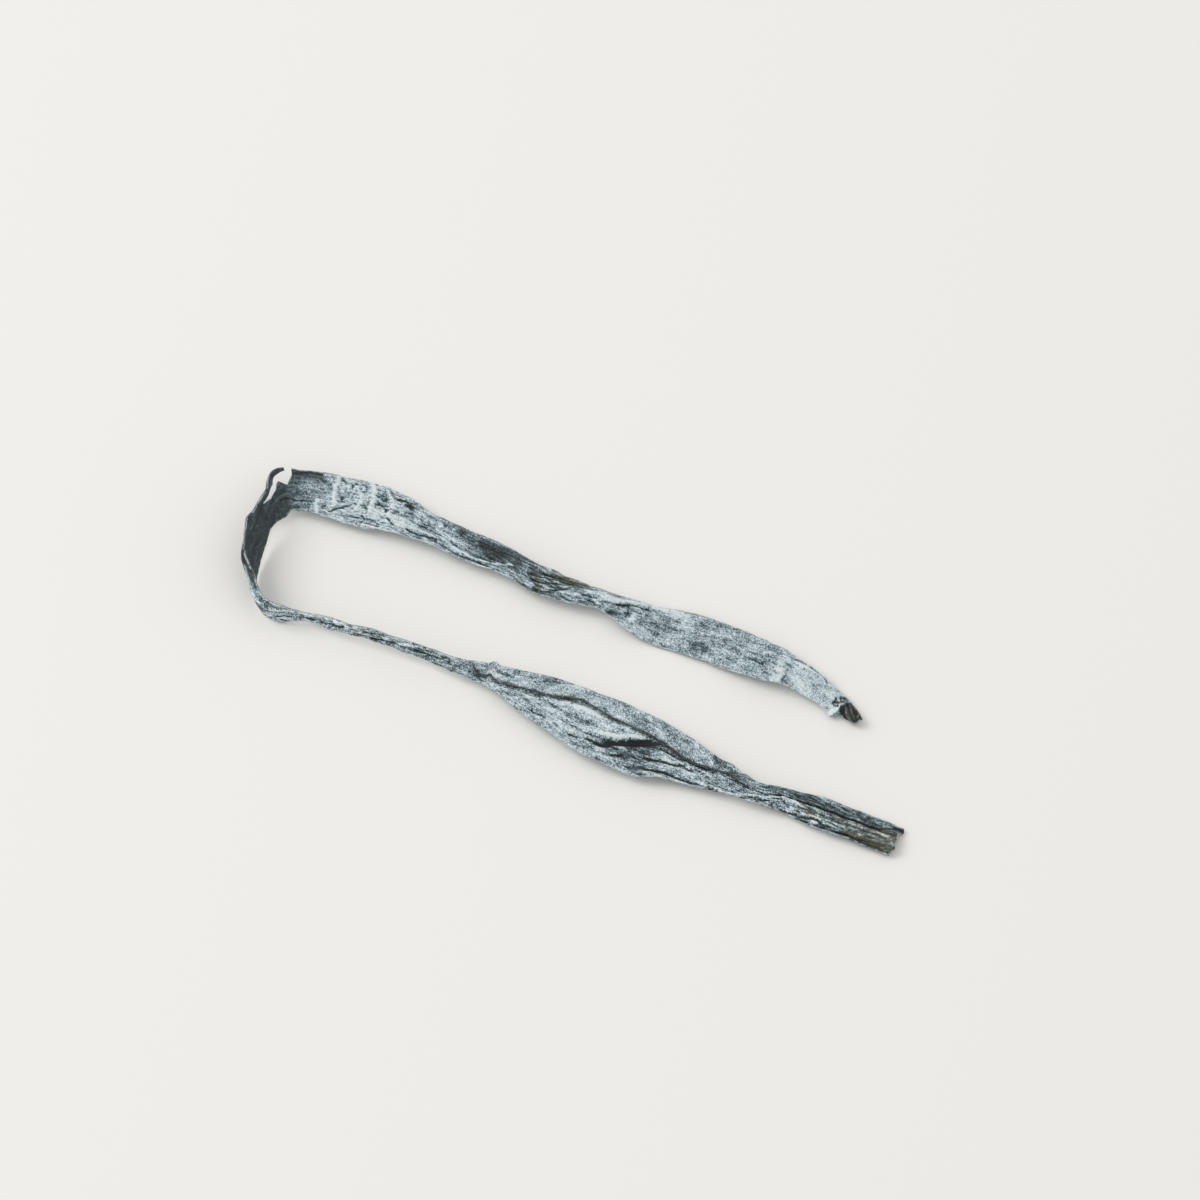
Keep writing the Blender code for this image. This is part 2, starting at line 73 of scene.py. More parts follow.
VIEW_DOWN = 58.0  # degrees below the horizon that the camera looks
MM_PER_PIXEL = 0.40
PHOTO_SIZE = 1200  # pixels
PLAN_ORIGIN = (570.0, 650.0)  # where the plan's origin is in the photograph
DISTANCE = 9.0  # metres from the strip to the camera
SENSOR = 36.0  # width of the camera's sensor
KEY_DIRECTION = (-1.0, 0.3, 0.95)  # in the plan, from the strip to the light
KEY_DISTANCE, KEY_SIZE, KEY_POWER = 5.0, 2.8, 95.0  # metres, metres and watts
KEY_COLOUR = (1.0, 0.99, 0.98)
SKY_COLOUR, SKY_STRENGTH = (1.0, 0.995, 0.985, 1.0), 0.72
FLOOR_SIZE = 30.0  # metres

# The blade's cross-sections from the tail round to the cut end, as the solid has them: the
# place of the middle, how far it shows on its back and front side of that, the roll about
# its run, the bend across it, the width folded over, the depth of its lobes, and the curl
# of the back margin.
SECTIONS = (
    # x, y, z, back, front, roll, bend, folded, lobes, curl
    (114.6, -34.9, 2.4, 1.8, 1.6, 0, -190, 0, 0.0, 0),
    (112.2, -31.1, 3.3, 2.6, 2.5, 0, -200, 0, 0.2, 0),
    (110.8, -28.3, 2.9, 2.7, 3.6, 0, -150, 0, 0.2, 0),
    (109.9, -26.9, 2.6, 2.8, 8.6, 0, -60, 0, 0.0, 0),
    (100.0, -20.7, 3.2, 5.9, 5.5, 0, -40, 0, 0.0, 0),
    (90.0, -14.3, 4.0, 7.9, 6.0, -4, -30, 0, 0.0, 0),
    (79.2, -7.5, 4.4, 8.4, 9.5, -3, -24, 0, 0.0, 0),
    (66.0, -1.1, 3.2, 9.3, 10.1, 2, -20, 0, 0.0, 0),
    (50.0, 5.9, 1.8, 9.7, 9.3, 3, -14, 0, 0.0, 0),
    (36.0, 11.4, 2.1, 7.7, 9.8, 0, -20, 0, 0.0, 0),
    (24.0, 15.9, 4.0, 5.9, 7.8, -4, -34, 0, 0.2, 0),
    (12.0, 20.4, 5.2, 5.5, 3.7, -5, -56, 0, 0.6, 0),
    (-2.0, 25.5, 5.4, 6.3, 5.4, -2, -54, 0, 0.9, 0),
    (-13.2, 29.9, 4.8, 6.2, 5.2, 4, -30, 0, 1.2, 0),
    (-24.4, 36.8, 4.4, 7.0, 4.4, 6, -18, 0, 0.8, 0),
    (-40.0, 44.5, 4.8, 7.8, 5.3, 2, -24, 0, 0.5, 0),
    (-56.8, 54.1, 5.2, 7.4, 6.3, -3, -32, 0, 0.4, 0),
    (-68.4, 60.1, 4.6, 9.9, 8.1, -2, -18, 0, 0.0, 0),
    (-81.6, 65.9, 3.6, 10.4, 10.3, 3, 10, 0, 0.0, 0),
    (-97.2, 69.8, 4.0, 9.8, 9.0, 8, 16, 0, 0.0, 0),
    (-108.0, 72.0, 5.0, 8.8, 8.2, 15, 14, 0, 0.0, 0),
    (-114.2, 71.2, 6.2, 9.8, 8.0, 27, 10, 0, 0.0, 0),
    (-119.0, 65.4, 7.2, 6.3, 7.9, 44, 12, 0, 0.0, 0),
    (-122.6, 57.0, 8.0, 7.5, 5.5, 58, 18, 0, 0.0, 0),
    (-126.6, 47.6, 8.2, 8.4, 7.4, 62, 22, 0, 0.0, 4),
    (-129.0, 37.6, 7.8, 7.4, 8.2, 66, 26, 0, 0.0, 34),
    (-128.0, 28.2, 6.8, 6.4, 7.0, 74, 24, 0, 0.2, 60),
    (-123.8, 17.6, 5.8, 5.0, 4.6, 87, 16, 0, 0.5, 40),
    (-116.2, 14.0, 5.2, 4.9, 5.0, 96, 6, 0, 0.8, 10),
    (-108.0, 13.4, 4.4, 2.8, 2.8, 102, 0, 0, 0.8, 0),
    (-98.0, 10.8, 4.4, 2.6, 2.5, 108, 0, 0, 0.7, 0),
    (-88.0, 7.0, 5.0, 2.4, 2.4, 112, 0, 0, 0.7, 0),
    (-79.2, 3.8, 5.4, 2.5, 2.6, 114, 0, 0, 0.7, 0),
    (-70.4, 0.6, 5.4, 2.6, 2.7, 118, 0, 0, 0.7, 0),
    (-53.6, -6.6, 5.0, 2.8, 2.8, 130, 0, 0, 0.8, 0),
    (-42.0, -11.6, 4.4, 3.4, 3.2, 152, -10, 1.0, 0.7, 0),
    (-34.0, -14.4, 3.8, 4.8, 3.8, 170, -16, 4.4, 0.4, 0),
    (-24.0, -18.2, 3.3, 6.9, 7.2, 178, -18, 6.4, 0.2, 0),
    (-12.0, -25.0, 2.8, 10.8, 10.4, 180, -22, 7.2, 0.0, 0),
    (2.0, -32.6, 1.8, 13.0, 13.6, 181, -30, 4.4, 0.0, 0),
    (16.0, -39.4, 1.2, 13.8, 15.8, 182, -34, 6.8, 0.0, 0),
    (30.0, -46.5, 1.5, 12.8, 15.4, 180, -34, 6.4, 0.0, 0),
    (44.0, -53.5, 2.4, 10.4, 10.6, 177, -26, 7.8, 0.2, 0),
    (58.0, -60.6, 3.4, 6.0, 7.5, 174, -14, 3.8, 0.6, 0),
    (72.0, -68.0, 3.6, 4.1, 4.6, 174, 10, 1.0, 0.9, 0),
    (86.8, -73.3, 3.6, 6.0, 4.8, 178, 30, 0, 0.7, 0),
    (100.0, -79.6, 3.4, 8.8, 5.6, 182, 34, 0, 0.5, 0),
    (114.0, -85.1, 2.5, 8.4, 5.6, 183, 36, 0, 0.4, 0),
    (129.6, -91.1, 2.1, 7.4, 6.6, 182, 40, 0, 0.4, 0),
)
TAIL, CORNER, FIRST_TEAR, SECOND_TEAR = 3, 20, 21, 22  # cross-sections that bound the torn places
TURN = 28  # from here the sections belong to the lower arm
PLAIN_FROM, PLAIN_TO = 6, 8  # cross-sections between which face one looks up
BACK, FRONT, ROLL, BEND, FOLDED, LOBES, CURL = range(3, 10)  # their columns

# Lengthwise folds: arm, x from and to, place across from and to (over 0 towards the back),
# height (under 0 for a crease), width and kind. A lap lies on the blade, steep at its back.
FOLDS = (
    ("upper", -66, -30, 0.0, -1.5, -0.9, 0.9, "sharp"),
    ("upper", -67, -26, -4.4, -3.6, -0.9, 0.8, "sharp"),
    ("upper", -60, -34, 4.4, 3.6, 0.5, 2.0, "soft"),
    ("upper", -15, 4, 3.4, 4.6, -0.9, 0.8, "sharp"),
    ("upper", -17, 2, -0.2, 1.4, -0.8, 0.7, "sharp"),
    ("upper", -15, 0, -3.2, -3.6, -0.9, 0.8, "sharp"),
    ("upper", -6, 48, -1.6, 8.4, 1.1, 1.4, "soft"),
    ("upper", 15, 26, -2.6, -2.4, -1.3, 2.2, "soft"),
    ("upper", -100, -68, -7.2, -6.2, -0.8, 1.2, "sharp"),
    ("upper", -92, -74, 5.5, 7.5, 0.6, 1.4, "soft"),
    ("upper", 84, 104, 2.8, 2.0, -0.5, 0.9, "sharp"),
    ("lower", -25, -7, -9.0, 3.4, 0.7, 1.0, "sharp"),
    ("lower", -8, 30, 4.4, 5.0, 0.9, 1.4, "soft"),
    ("lower", 9, 35, -5.0, 7.0, 0.8, 1.4, "soft"),
    ("lower", 12, 36, -8.0, 6.0, -1.7, 2.0, "soft"),
    ("lower", -10, 14, -3.5, -5.0, -0.6, 1.1, "sharp"),
    ("lower", 26, 54, -6.0, -1.0, -0.7, 0.8, "sharp"),
    ("lower", 28, 56, -10.8, -6.2, -0.7, 0.8, "sharp"),
    ("lower", 34, 84, 1.0, 2.2, -1.3, 0.9, "sharp"),
    ("lower", 62, 96, -7.0, 2.4, 0.9, 2.6, "lap"),
    ("lower", 82, 136, 2.2, 3.6, -1.3, 0.9, "sharp"),
    ("lower", 78, 136, -5.6, -3.4, -1.3, 0.9, "sharp"),
    ("lower", 96, 134, -0.6, 0.4, -0.6, 0.6, "sharp"),
)

# How the shown face looks along the strip, by the number of the cross-section: how much
# bloom covers it, how olive it is, how wrinkled, and how much it is puckered into cells.
LOOKS = (
    # section, bloom, olive, wrinkled, puckered
    (0, 0.0, 0.12, 1.3, 0.0),
    (1.6, 0.0, 0.15, 1.3, 0.0),
    (2.6, 0.04, 0.15, 1.0, 0.0),
    (3.0, 0.76, 0.02, 0.5, 0.0),
    (5, 0.74, 0.00, 0.4, 0.0),
    (6.4, 0.56, 0.00, 0.4, 0.0),
    (8, 0.58, 0.00, 0.4, 0.0),
    (10, 0.60, 0.05, 0.7, 0.0),
    (11.4, 0.50, 0.20, 1.3, 0.0),
    (12.6, 0.42, 0.32, 1.5, 0.0),
    (13.6, 0.46, 0.20, 1.0, 0.0),
    (15, 0.50, 0.05, 0.7, 0.0),
    (16.4, 0.66, 0.02, 1.0, 0.2),
    (17.2, 0.74, 0.02, 1.0, 0.8),
    (18.6, 0.72, 0.02, 0.8, 1.0),
    (19.4, 0.60, 0.04, 0.6, 0.4),
    (20.2, 0.40, 0.12, 0.5, 0.0),
    # The loop's wall has little bloom, and part of its darkness is painted shade.
    (21.4, 0.24, 0.20, 0.4, 0.0),
    (24.0, 0.20, 0.06, 0.3, 0.0),
    (25.6, 0.24, 0.05, 0.4, 0.0),
    (27.0, 0.50, 0.05, 0.9, 0.0),
    (29.0, 0.62, 0.05, 1.3, 0.0),
    (31.5, 0.48, 0.32, 1.5, 0.0),
    (34.0, 0.50, 0.22, 1.5, 0.0),
    (36.5, 0.62, 0.08, 0.9, 0.0),
    (39.0, 0.66, 0.02, 0.5, 0.1),
    (41.5, 0.56, 0.04, 0.8, 0.2),
    (43.5, 0.58, 0.10, 1.1, 0.0),
    (45.0, 0.52, 0.20, 1.2, 0.0),
    (46.6, 0.46, 0.20, 1.3, 0.0),
    (48.0, 0.36, 0.42, 1.4, 0.0),
)
LOOK_NAMES = ("bloom", "olive", "wrinkled", "puckered")

# Soft patches on the shown face: arm, x, place across, reach along, reach across, what
# changes and by how much.
PATCHES = (
    ("upper", -30, 3.5, 12, 4.0, "bloom", -0.22),
    ("upper", 0, 4.4, 11, 2.6, "bloom", -0.34),
    ("upper", 0, 4.4, 12, 2.6, "olive", 0.30),
    ("upper", 21, -2.4, 5, 3.0, "bloom", -0.12),
    ("lower", 10, 1.5, 16, 5.0, "wrinkled", -0.5),
    ("lower", 14, 1.0, 12, 4.0, "bloom", 0.10),
    ("upper", 14, 2.0, 14, 1.6, "bloom", 0.35),
    ("upper", 36, 5.5, 14, 1.6, "bloom", 0.25),
    ("upper", -66, 4.5, 3, 3.0, "bloom", -0.55),
    ("upper", -103, 7.0, 6, 3.0, "bloom", -0.30),
    ("upper", -103, 7.0, 7, 3.0, "olive", 0.30),
    ("upper", 18, 5.0, 2, 1.2, "olive", 0.8),
    ("upper", -52, -1.0, 14, 1.6, "bloom", 0.25),
    ("lower", 30, 0.6, 7, 3.0, "bloom", -0.30),
    ("lower", 15, -6.5, 10, 2.4, "bloom", -0.12),
    ("lower", 30, -7.5, 16, 2.0, "bloom", -0.22),
    ("lower", -8, 4.0, 22, 2.6, "olive", 0.15),
    ("lower", 97, -1.0, 5, 2.0, "olive", 0.5),
    ("lower", 94, 4.5, 26, 2.2, "bloom", -0.25),
    ("lower", 118, -4.5, 12, 2.0, "bloom", -0.25),
    ("lower", 124, 1.5, 6, 2.4, "olive", 0.5),
)

# What each kind of mark does at full strength: how far it stands out in millimetres, how
# much paler the blade is there, and how bare of bloom. A crest's paleness is a painted
# highlight, the darkness of a crease is painted shade, and that of a pit is partly painted shade.
MARK_KINDS = {
    "crest": (0.55, 0.26, 0.0),
    "crease": (-0.45, -0.36, 0.0),
    "pit": (-0.40, -0.34, 0.0),
    "shade": (0.0, -0.30, 0.0),
    "pale": (0.0, 0.34, 0.0),
    "olive": (0.0, -0.10, 1.0),
    "ochre": (0.0, 0.24, 1.0),
}

# The marks that show: kind, strength, breadth, face, and the places along and across the
# opened blade that each runs through. The places come from points picked by eye on the
# photograph, which a separate program carried onto the blade and which were then rounded.
MARKS = (
    # the crinkled blade beside the loop
    ("crease", 0.5, 0.8, 1, ((261, -2), (252, -4.5), (245, -3.5))),
    ("shade", 1.0, 1.8, 1, ((254, 7), (249.5, 7.5), (244, 8.5))),
    ("crest", 1.2, 1.5, 1, ((243, -3), (242.5, -6.5), (241.5, -9))),
    ("pit", 1.0, 1.3, 1, ((240.5, -5), (239.5, -4.5))),
    ("crease", 0.9, 0.9, 1, ((237.5, -6.5), (233.5, -4), (229.5, -1.5))),
    ("crest", 1.1, 1.7, 1, ((237, 8.5), (237.5, 5), (237, 1), (236, -3.5))),
    ("crest", 1.2, 1.8, 1, ((224, 10), (222.5, 8), (221.5, 4), (221, -2))),
    ("crest", 1.1, 1.7, 1, ((217.5, 8.5), (214.5, 5.5), (213, 2), (213, -1.5))),
    ("crest", 0.7, 0.8, 1, ((231, 9), (228, 5.5), (226, 2), (227, -3))),
    ("pit", 1.0, 1.3, 1, ((235, 3), (233, 4), (231, 3.5))),
    ("pit", 1.0, 1.1, 1, ((231, 5.5), (230.5, 7), (229.5, 8))),
    ("pit", 0.9, 1.0, 1, ((227, 8.5), (225.5, 8), (225, 7))),
    ("pit", 0.9, 1.0, 1, ((233.5, 1), (233, -0.5))),
    ("pit", 0.8, 1.0, 1, ((229.5, 0.5), (228, -0.5))),
    ("pit", 1.0, 1.3, 1, ((225, -0.5), (223, -1), (221.5, -2.5))),
    ("olive", 0.5, 1.2, 1, ((225, -0.5), (223, -1), (221.5, -2.5))),
    ("pit", 1.2, 2.4, 1, ((220.5, 5.5), (219, 5.5), (217, 5))),
    ("pit", 1.0, 1.2, 1, ((219, 2), (217, 2), (214.5, 0.5))),
    ("pit", 1.0, 1.1, 1, ((213, -3), (209.5, -4.5))),
    ("pit", 1.1, 1.3, 1, ((212, 7), (209, 7), (206.5, 5.5))),
    ("crest", 0.9, 0.8, 1, ((208, -1), (205.5, -1.5), (206.5, -2.5))),
    ("crest", 0.8, 0.8, 1, ((207, -4), (205, -4.5), (202.5, -5))),
    ("crease", 0.9, 0.9, 1, ((222.5, -8), (218.5, -8), (215, -7.5))),
    ("crest", 0.7, 0.8, 1, ((221.5, -9), (217, -9), (213.5, -9), (209, -8), (205, -7))),
    ("crest", 0.9, 2.2, 1, ((208, 3.5), (204, 4), (199, 3.5), (192, 3.5))),
    ("shade", 0.9, 1.9, 1, ((203, 0), (199, -0.5), (194.5, -1), (191, -0.5))),
    ("crest", 0.8, 0.8, 1, ((202.5, -3), (198.5, -2.5), (191, -2.5))),
    ("crease", 1.0, 0.8, 1, ((204, -4.5), (199, -4.5), (195, -3.5), (190.5, -3))),
    # A broad dark slope: partly darker kelp, partly painted shadow of a crossing strip that is not
    # built.
    ("shade", 0.8, 4.2, 1, ((187, 4.5), (178.5, 3.8), (171, 3), (164, 3))),
    ("crest", 0.8, 0.9, 1, ((182.5, -2.5), (173, -3), (166.5, -2.5), (158.5, 0.5))),
    ("pale", 0.7, 1.2, 1, ((172, -5), (167, -4.5), (161, -4.5), (155, -4.5))),
    # the narrow neck
    ("olive", 0.4, 1.8, 1, ((148, 2.5), (145.5, 0), (143, -4))),
    ("pale", 0.9, 0.9, 1, ((146.5, 4.8), (141.5, 5), (136, 5.3), (129.5, 5), (119, 5))),
    ("crease", 1.0, 0.7, 1, ((139, -2.5), (135, -1), (132, 0.5))),
    ("crest", 0.9, 1.0, 1, ((135, -2), (129, -1.5), (123, -1), (118.5, -1.5))),
    ("crease", 0.8, 0.8, 1, ((150, 1), (143, 1.5), (136, 2.5), (128, 2.5))),
    ("crest", 1.0, 0.8, 1, ((121, -1), (113, 1.2), (107, 3.2), (101, 4.2))),
    ("crease", 1.1, 0.8, 1, ((114, 0), (105, 2.2), (99, 3.2))),
    ("ochre", 0.7, 0.9, 1, ((121, 2), (118.5, 3), (115, 4))),
    # Painted shade of a shallow dimple.
    ("shade", 0.4, 2.2, 1, ((114, -4), (110, -3.5), (106.5, -1))),
    ("pale", 0.8, 0.7, 1, ((119, -3.5), (113.5, -5), (107, -7.5), (98.5, -9.3))),
    # the plain blade and its tip
    ("shade", 0.5, 2.6, 1, ((101, -2.5), (94.5, -2), (89, 0), (82.5, 0))),
    ("shade", 0.5, 2.6, 1, ((82.5, -5), (74.5, -3.5), (68, -2.5))),
    ("shade", 0.4, 2.4, 1, ((60, -1.5), (53, -2.5), (45.5, -3.5))),
    ("shade", 0.9, 1.0, 1, ((78.5, 6), (77, 5))),
    ("shade", 0.9, 1.0, 1, ((71.5, 7), (70.5, 6.5))),
    ("crest", 0.9, 1.2, 1, ((38.5, -0.5), (37.5, -3.5), (37, -6))),
    ("crest", 0.6, 1.4, 1, ((41.5, 5), (37, 5), (29.5, 5.5), (23, 5), (17, 3.5))),
    ("crease", 1.2, 0.8, 1, ((30, 7), (25, 6), (20.5, 4.6))),
    ("crease", 0.9, 0.7, 1, ((37, 6.5), (33, 7.2))),
    ("shade", 1.0, 0.9, 1, ((38.5, 5), (37.5, 5.2))),
    ("shade", 3.4, 1.6, 1, ((13.6, -2), (13.4, -0.6), (12.4, 0.8), (11, 1.6))),
    ("shade", 3.4, 1.6, 1, ((13.2, -3), (11.4, -3.6), (10, -2.4), (10, 0))),
    ("shade", 3.4, 1.3, 1, ((12.4, -1.9), (11.8, -2.1))),
    ("ochre", 3.6, 0.6, 1, ((13, -3.2), (11.5, -3.2), (10.6, -2.2), (10.9, -1), (12.4, -0.6))),
    ("ochre", 1.5, 0.6, 1, ((11, 0.8), (9.8, 0.2), (9.2, -1))),
    ("ochre", 0.8, 0.5, 1, ((9, 1.6), (5, 1.8), (1, 1.4))),
    ("ochre", 0.6, 0.5, 1, ((8.4, 0.4), (5, 0.3), (1.5, 0.4))),
    ("ochre", 0.6, 0.4, 1, ((7.6, -0.8), (4.6, -0.8), (1.5, -0.6))),
    ("shade", 2.6, 0.9, 1, ((8.6, -2.4), (6.4, -2), (3.6, -1.6))),
    ("pale", 2.2, 3.0, 1, ((11.6, -7.5), (10.2, -6), (9.2, -4.6))),
    # the loop's margin and the narrow band after it
    ("pale", 1.3, 1.3, 2, ((299, 5), (305, 3.5), (310.5, 2.5), (316, 2))),
    ("shade", 1.0, 0.8, 2, ((305.5, 1.5), (310.5, 0.5))),
    ("shade", 1.4, 1.3, 2, ((295, 7), (298, 6))),
    ("crest", 1.0, 0.9, 2, ((317.5, 1), (321.5, 2), (325.5, 3), (331, 2.5), (337.5, 2.5),
     (344, 2.5))),
    ("crease", 1.1, 0.8, 2, ((320, -3), (325.5, -0.5), (332, -0.5), (338.5, 0), (345, 0),
     (351, 1))),
    ("crest", 0.8, 0.8, 2, ((318, -2), (326, -2), (334, -2.2), (342, -2))),
    ("crest", 0.9, 0.8, 2, ((346.5, 2.5), (350.5, 2.5), (353, 2))),
    ("ochre", 0.9, 1.3, 2, ((353.5, 0.5), (356, 1.5), (359, 2.2))),
    ("crease", 1.0, 0.8, 2, ((362, -1), (372, 0.5), (384, 0), (396, 0.8))),
    ("crest", 0.8, 0.8, 2, ((366, 1.2), (378, 1.6), (392, 2))),
    # the broad blade of the lower arm, and its folded margin
    ("crest", 0.4, 2.0, 2, ((426.5, -8.5), (430.5, -7), (435, -3), (438.5, 1), (445, 3.5))),
    ("pale", 0.2, 2.0, 2, ((445, 3.5), (464, 4.5), (475, 4))),
    ("pit", 1.0, 0.9, 2, ((435, -6.5), (439, -7), (441.5, -7))),
    ("pit", 1.0, 0.9, 2, ((445.5, -7.5), (448, -8))),
    ("pit", 1.0, 0.9, 2, ((453.5, -9), (457, -8.5))),
    ("pit", 1.1, 1.2, 2, ((460, -7.5), (466.5, -7.5), (470.5, -6.5), (473.5, -6))),
    ("pit", 1.0, 1.0, 2, ((473, -10), (477, -8.5))),
    # Painted shade in the hollow before the lap, and over the ridge above it.
    ("shade", 0.7, 3.0, 2, ((463, -8.6), (468, -7.2), (472, -5.2), (478, -1.5), (483, 1.8))),
    ("shade", 0.9, 7.0, 2, ((473, -7.4), (477, -5.4), (481, -3), (484.5, -1))),
    ("shade", 1.0, 4.0, 2, ((478, -0.5), (483, 2.4), (486, 3.6))),
    ("shade", 0.4, 1.6, 2, ((471, -1.5), (479, 2.2), (484, 4.5))),
    ("crease", 0.9, 0.8, 2, ((485.5, -5), (491, -3.5), (497.5, -3), (501.5, -1))),
    ("crease", 0.9, 0.8, 2, ((488, -10), (493.5, -8.5), (500, -8), (506.5, -7))),
    ("crease", 1.0, 0.9, 2, ((489, 1.5), (497.5, 0.5), (509, 0.5), (522.5, 1), (536, 0.5),
     (541.5, 1.5))),
    ("pit", 0.9, 0.9, 1, ((474.5, 15), (477.5, 16.5), (483, 16.5))),
    ("pit", 1.0, 1.0, 1, ((412, 9), (416, 9), (422.5, 11.5))),
    ("ochre", 0.8, 1.2, 1, ((418, 14), (422, 15))),
    ("ochre", 1.0, 0.7, 1, ((412, 10.5), (418, 13.4), (424, 16), (430, 18.6))),
    ("ochre", 0.9, 0.6, 1, ((433, 19), (438, 18.7), (442, 18), (447, 18.8))),
    ("shade", 1.0, 1.2, 1, ((511, 8), (515, 9), (518.5, 8.8), (521.5, 8))),
    ("pit", 0.8, 0.9, 1, ((494.5, 14.5), (498.5, 13))),
    ("crease", 0.7, 0.8, 1, ((430, 14), (446, 13), (458, 14))),
    # towards the cut end
    ("crest", 1.1, 1.1, 2, ((522.5, -5), (529, -3.2), (537, -1), (542.5, 0.5), (549, 0.5),
     (553, 0))),
    ("crease", 1.1, 0.9, 2, ((506.5, -7), (511, -7), (516, -6.6), (522, -6.2), (530, -4.6),
     (538, -2.4))),
    ("pit", 1.1, 1.1, 2, ((544, -0.8), (546.5, -2))),
    ("shade", 0.8, 1.0, 2, ((553, -0.5), (556, 1))),
    ("crease", 1.0, 0.8, 2, ((543, -4.5), (551, -4), (559, -2.7), (566.5, -4), (573, -4))),
    ("crease", 1.3, 0.9, 2, ((540, 1.5), (551, 2.5), (557.5, 3), (565.5, 3.4), (578.5, 3),
     (591, 2.5))),
    ("crease", 1.0, 0.8, 2, ((578.5, 3), (585, 3.7), (589.5, 5.5))),
    ("crest", 0.9, 0.9, 2, ((553, -2.6), (559, -1.6), (565, -1.2), (572, -2))),
    ("olive", 0.8, 2.0, 2, ((570.5, -3), (578.5, -2.5), (587, -3.5), (592, -4))),
    ("ochre", 1.2, 1.0, 2, ((583, 1.6), (588, 0.8), (591, 0.2))),
    ("olive", 0.8, 1.6, 2, ((566, 0.6), (576, 1), (584, 1.4))),
    ("shade", 0.9, 1.1, 2, ((570, -5.6), (579, -5), (588, -5))),
    ("shade", 0.8, 0.9, 2, ((574, 4.6), (583, 4.4), (590, 4))),
    ("pit", 1.6, 1.5, 2, ((589.5, 6), (592, 6.3))),
)


def smooth_step(value):
    value = np.clip(value, 0.0, 1.0)
    return value * value * (3.0 - 2.0 * value)


def curve_through(knots, values, places):
    """The values carried smoothly from knot to knot, without passing beyond them."""
    steps = np.diff(knots)
    rises = np.diff(values) / steps
    slopes = np.zeros(len(knots))
    slopes[0], slopes[-1] = rises[0], rises[-1]
    weight_one = 2.0 * steps[1:] + steps[:-1]
    weight_two = steps[1:] + 2.0 * steps[:-1]
    same_way = rises[:-1] * rises[1:] > 0.0
    first = np.where(same_way, rises[:-1], 1.0)
    second = np.where(same_way, rises[1:], 1.0)
    inner = (weight_one + weight_two) / (weight_one / first + weight_two / second)
    slopes[1:-1] = np.where(same_way, inner, 0.0)
    return hermite(knots, values, slopes, places)


def path_through(knots, values, places):
    """A rounder curve through the values, for the run of the ribbon."""
    slopes = np.gradient(values, knots)
    return hermite(knots, values, slopes, places)


def hermite(knots, values, slopes, places):
    index = np.clip(np.searchsorted(knots, places, side="right") - 1, 0, len(knots) - 2)
    step = knots[index + 1] - knots[index]
    part = (places - knots[index]) / step
    keep = 1.0 - part
    from_values = values[index] * (1.0 + 2.0 * part) * keep**2
    to_values = values[index + 1] * part**2 * (3.0 - 2.0 * part)
    from_slopes = slopes[index] * step * part * keep**2
    to_slopes = -slopes[index + 1] * step * part**2 * keep
    return from_values + to_values + from_slopes + to_slopes


TABLE = np.array(SECTIONS, float)
GAPS = np.linalg.norm(np.diff(TABLE[:, :3], axis=0), axis=1)
KNOTS = np.concatenate([[0.0], np.cumsum(GAPS)])


def ribbon_at(along, column):
    """One column of the cross-sections, carried along the ribbon."""
    return curve_through(KNOTS, TABLE[:, column], along)


def spine_at(along):
    """The middle of the ribbon."""
    return np.stack([path_through(KNOTS, TABLE[:, i], along) for i in range(3)], axis=1)


def place_on(arm, x):
    """How far along the ribbon the given x lies on one of its arms."""
    part = slice(TURN + 1) if arm == "upper" else slice(TURN, None)
    order = np.argsort(TABLE[part, 0])
    return float(np.interp(x, TABLE[part, 0][order], KNOTS[part][order]))


def lattice_place(along, across, steps, start):
    """The row and column of the lattice before each place, and the part beyond them."""
    u = along / steps[0] + start[0]
    v = across / steps[1] + start[1]
    row, column = np.floor(u).astype(int), np.floor(v).astype(int)
    return row, column, u - row, v - column


def lattice_value(values, row, column):
    return values[row % LATTICE[0], column % LATTICE[1]]


def patchy(along, across, step_along, step_across, seed):
    """Smooth uneven values from -1 to 1 on a lattice of the given steps."""
    values = np.random.default_rng(seed).uniform(-1.0, 1.0, LATTICE)
    place = lattice_place(along, across, (step_along, step_across), (7.0, 60.0))
    row, column, part_u, part_v = place
    part_u, part_v = smooth_step(part_u), smooth_step(part_v)
    mixed = []
    for down in (0, 1):
        low = lattice_value(values, row + down, column)
        high = lattice_value(values, row + down, column + 1)
        mixed.append(low * (1 - part_v) + high * part_v)
    return mixed[0] * (1 - part_u) + mixed[1] * part_u


def waver(along, like, step, seed):
    """Smooth unevenness along the ribbon alone, in the shape of the other array."""
    return patchy(along, 0 * like, step, 5.0, seed)


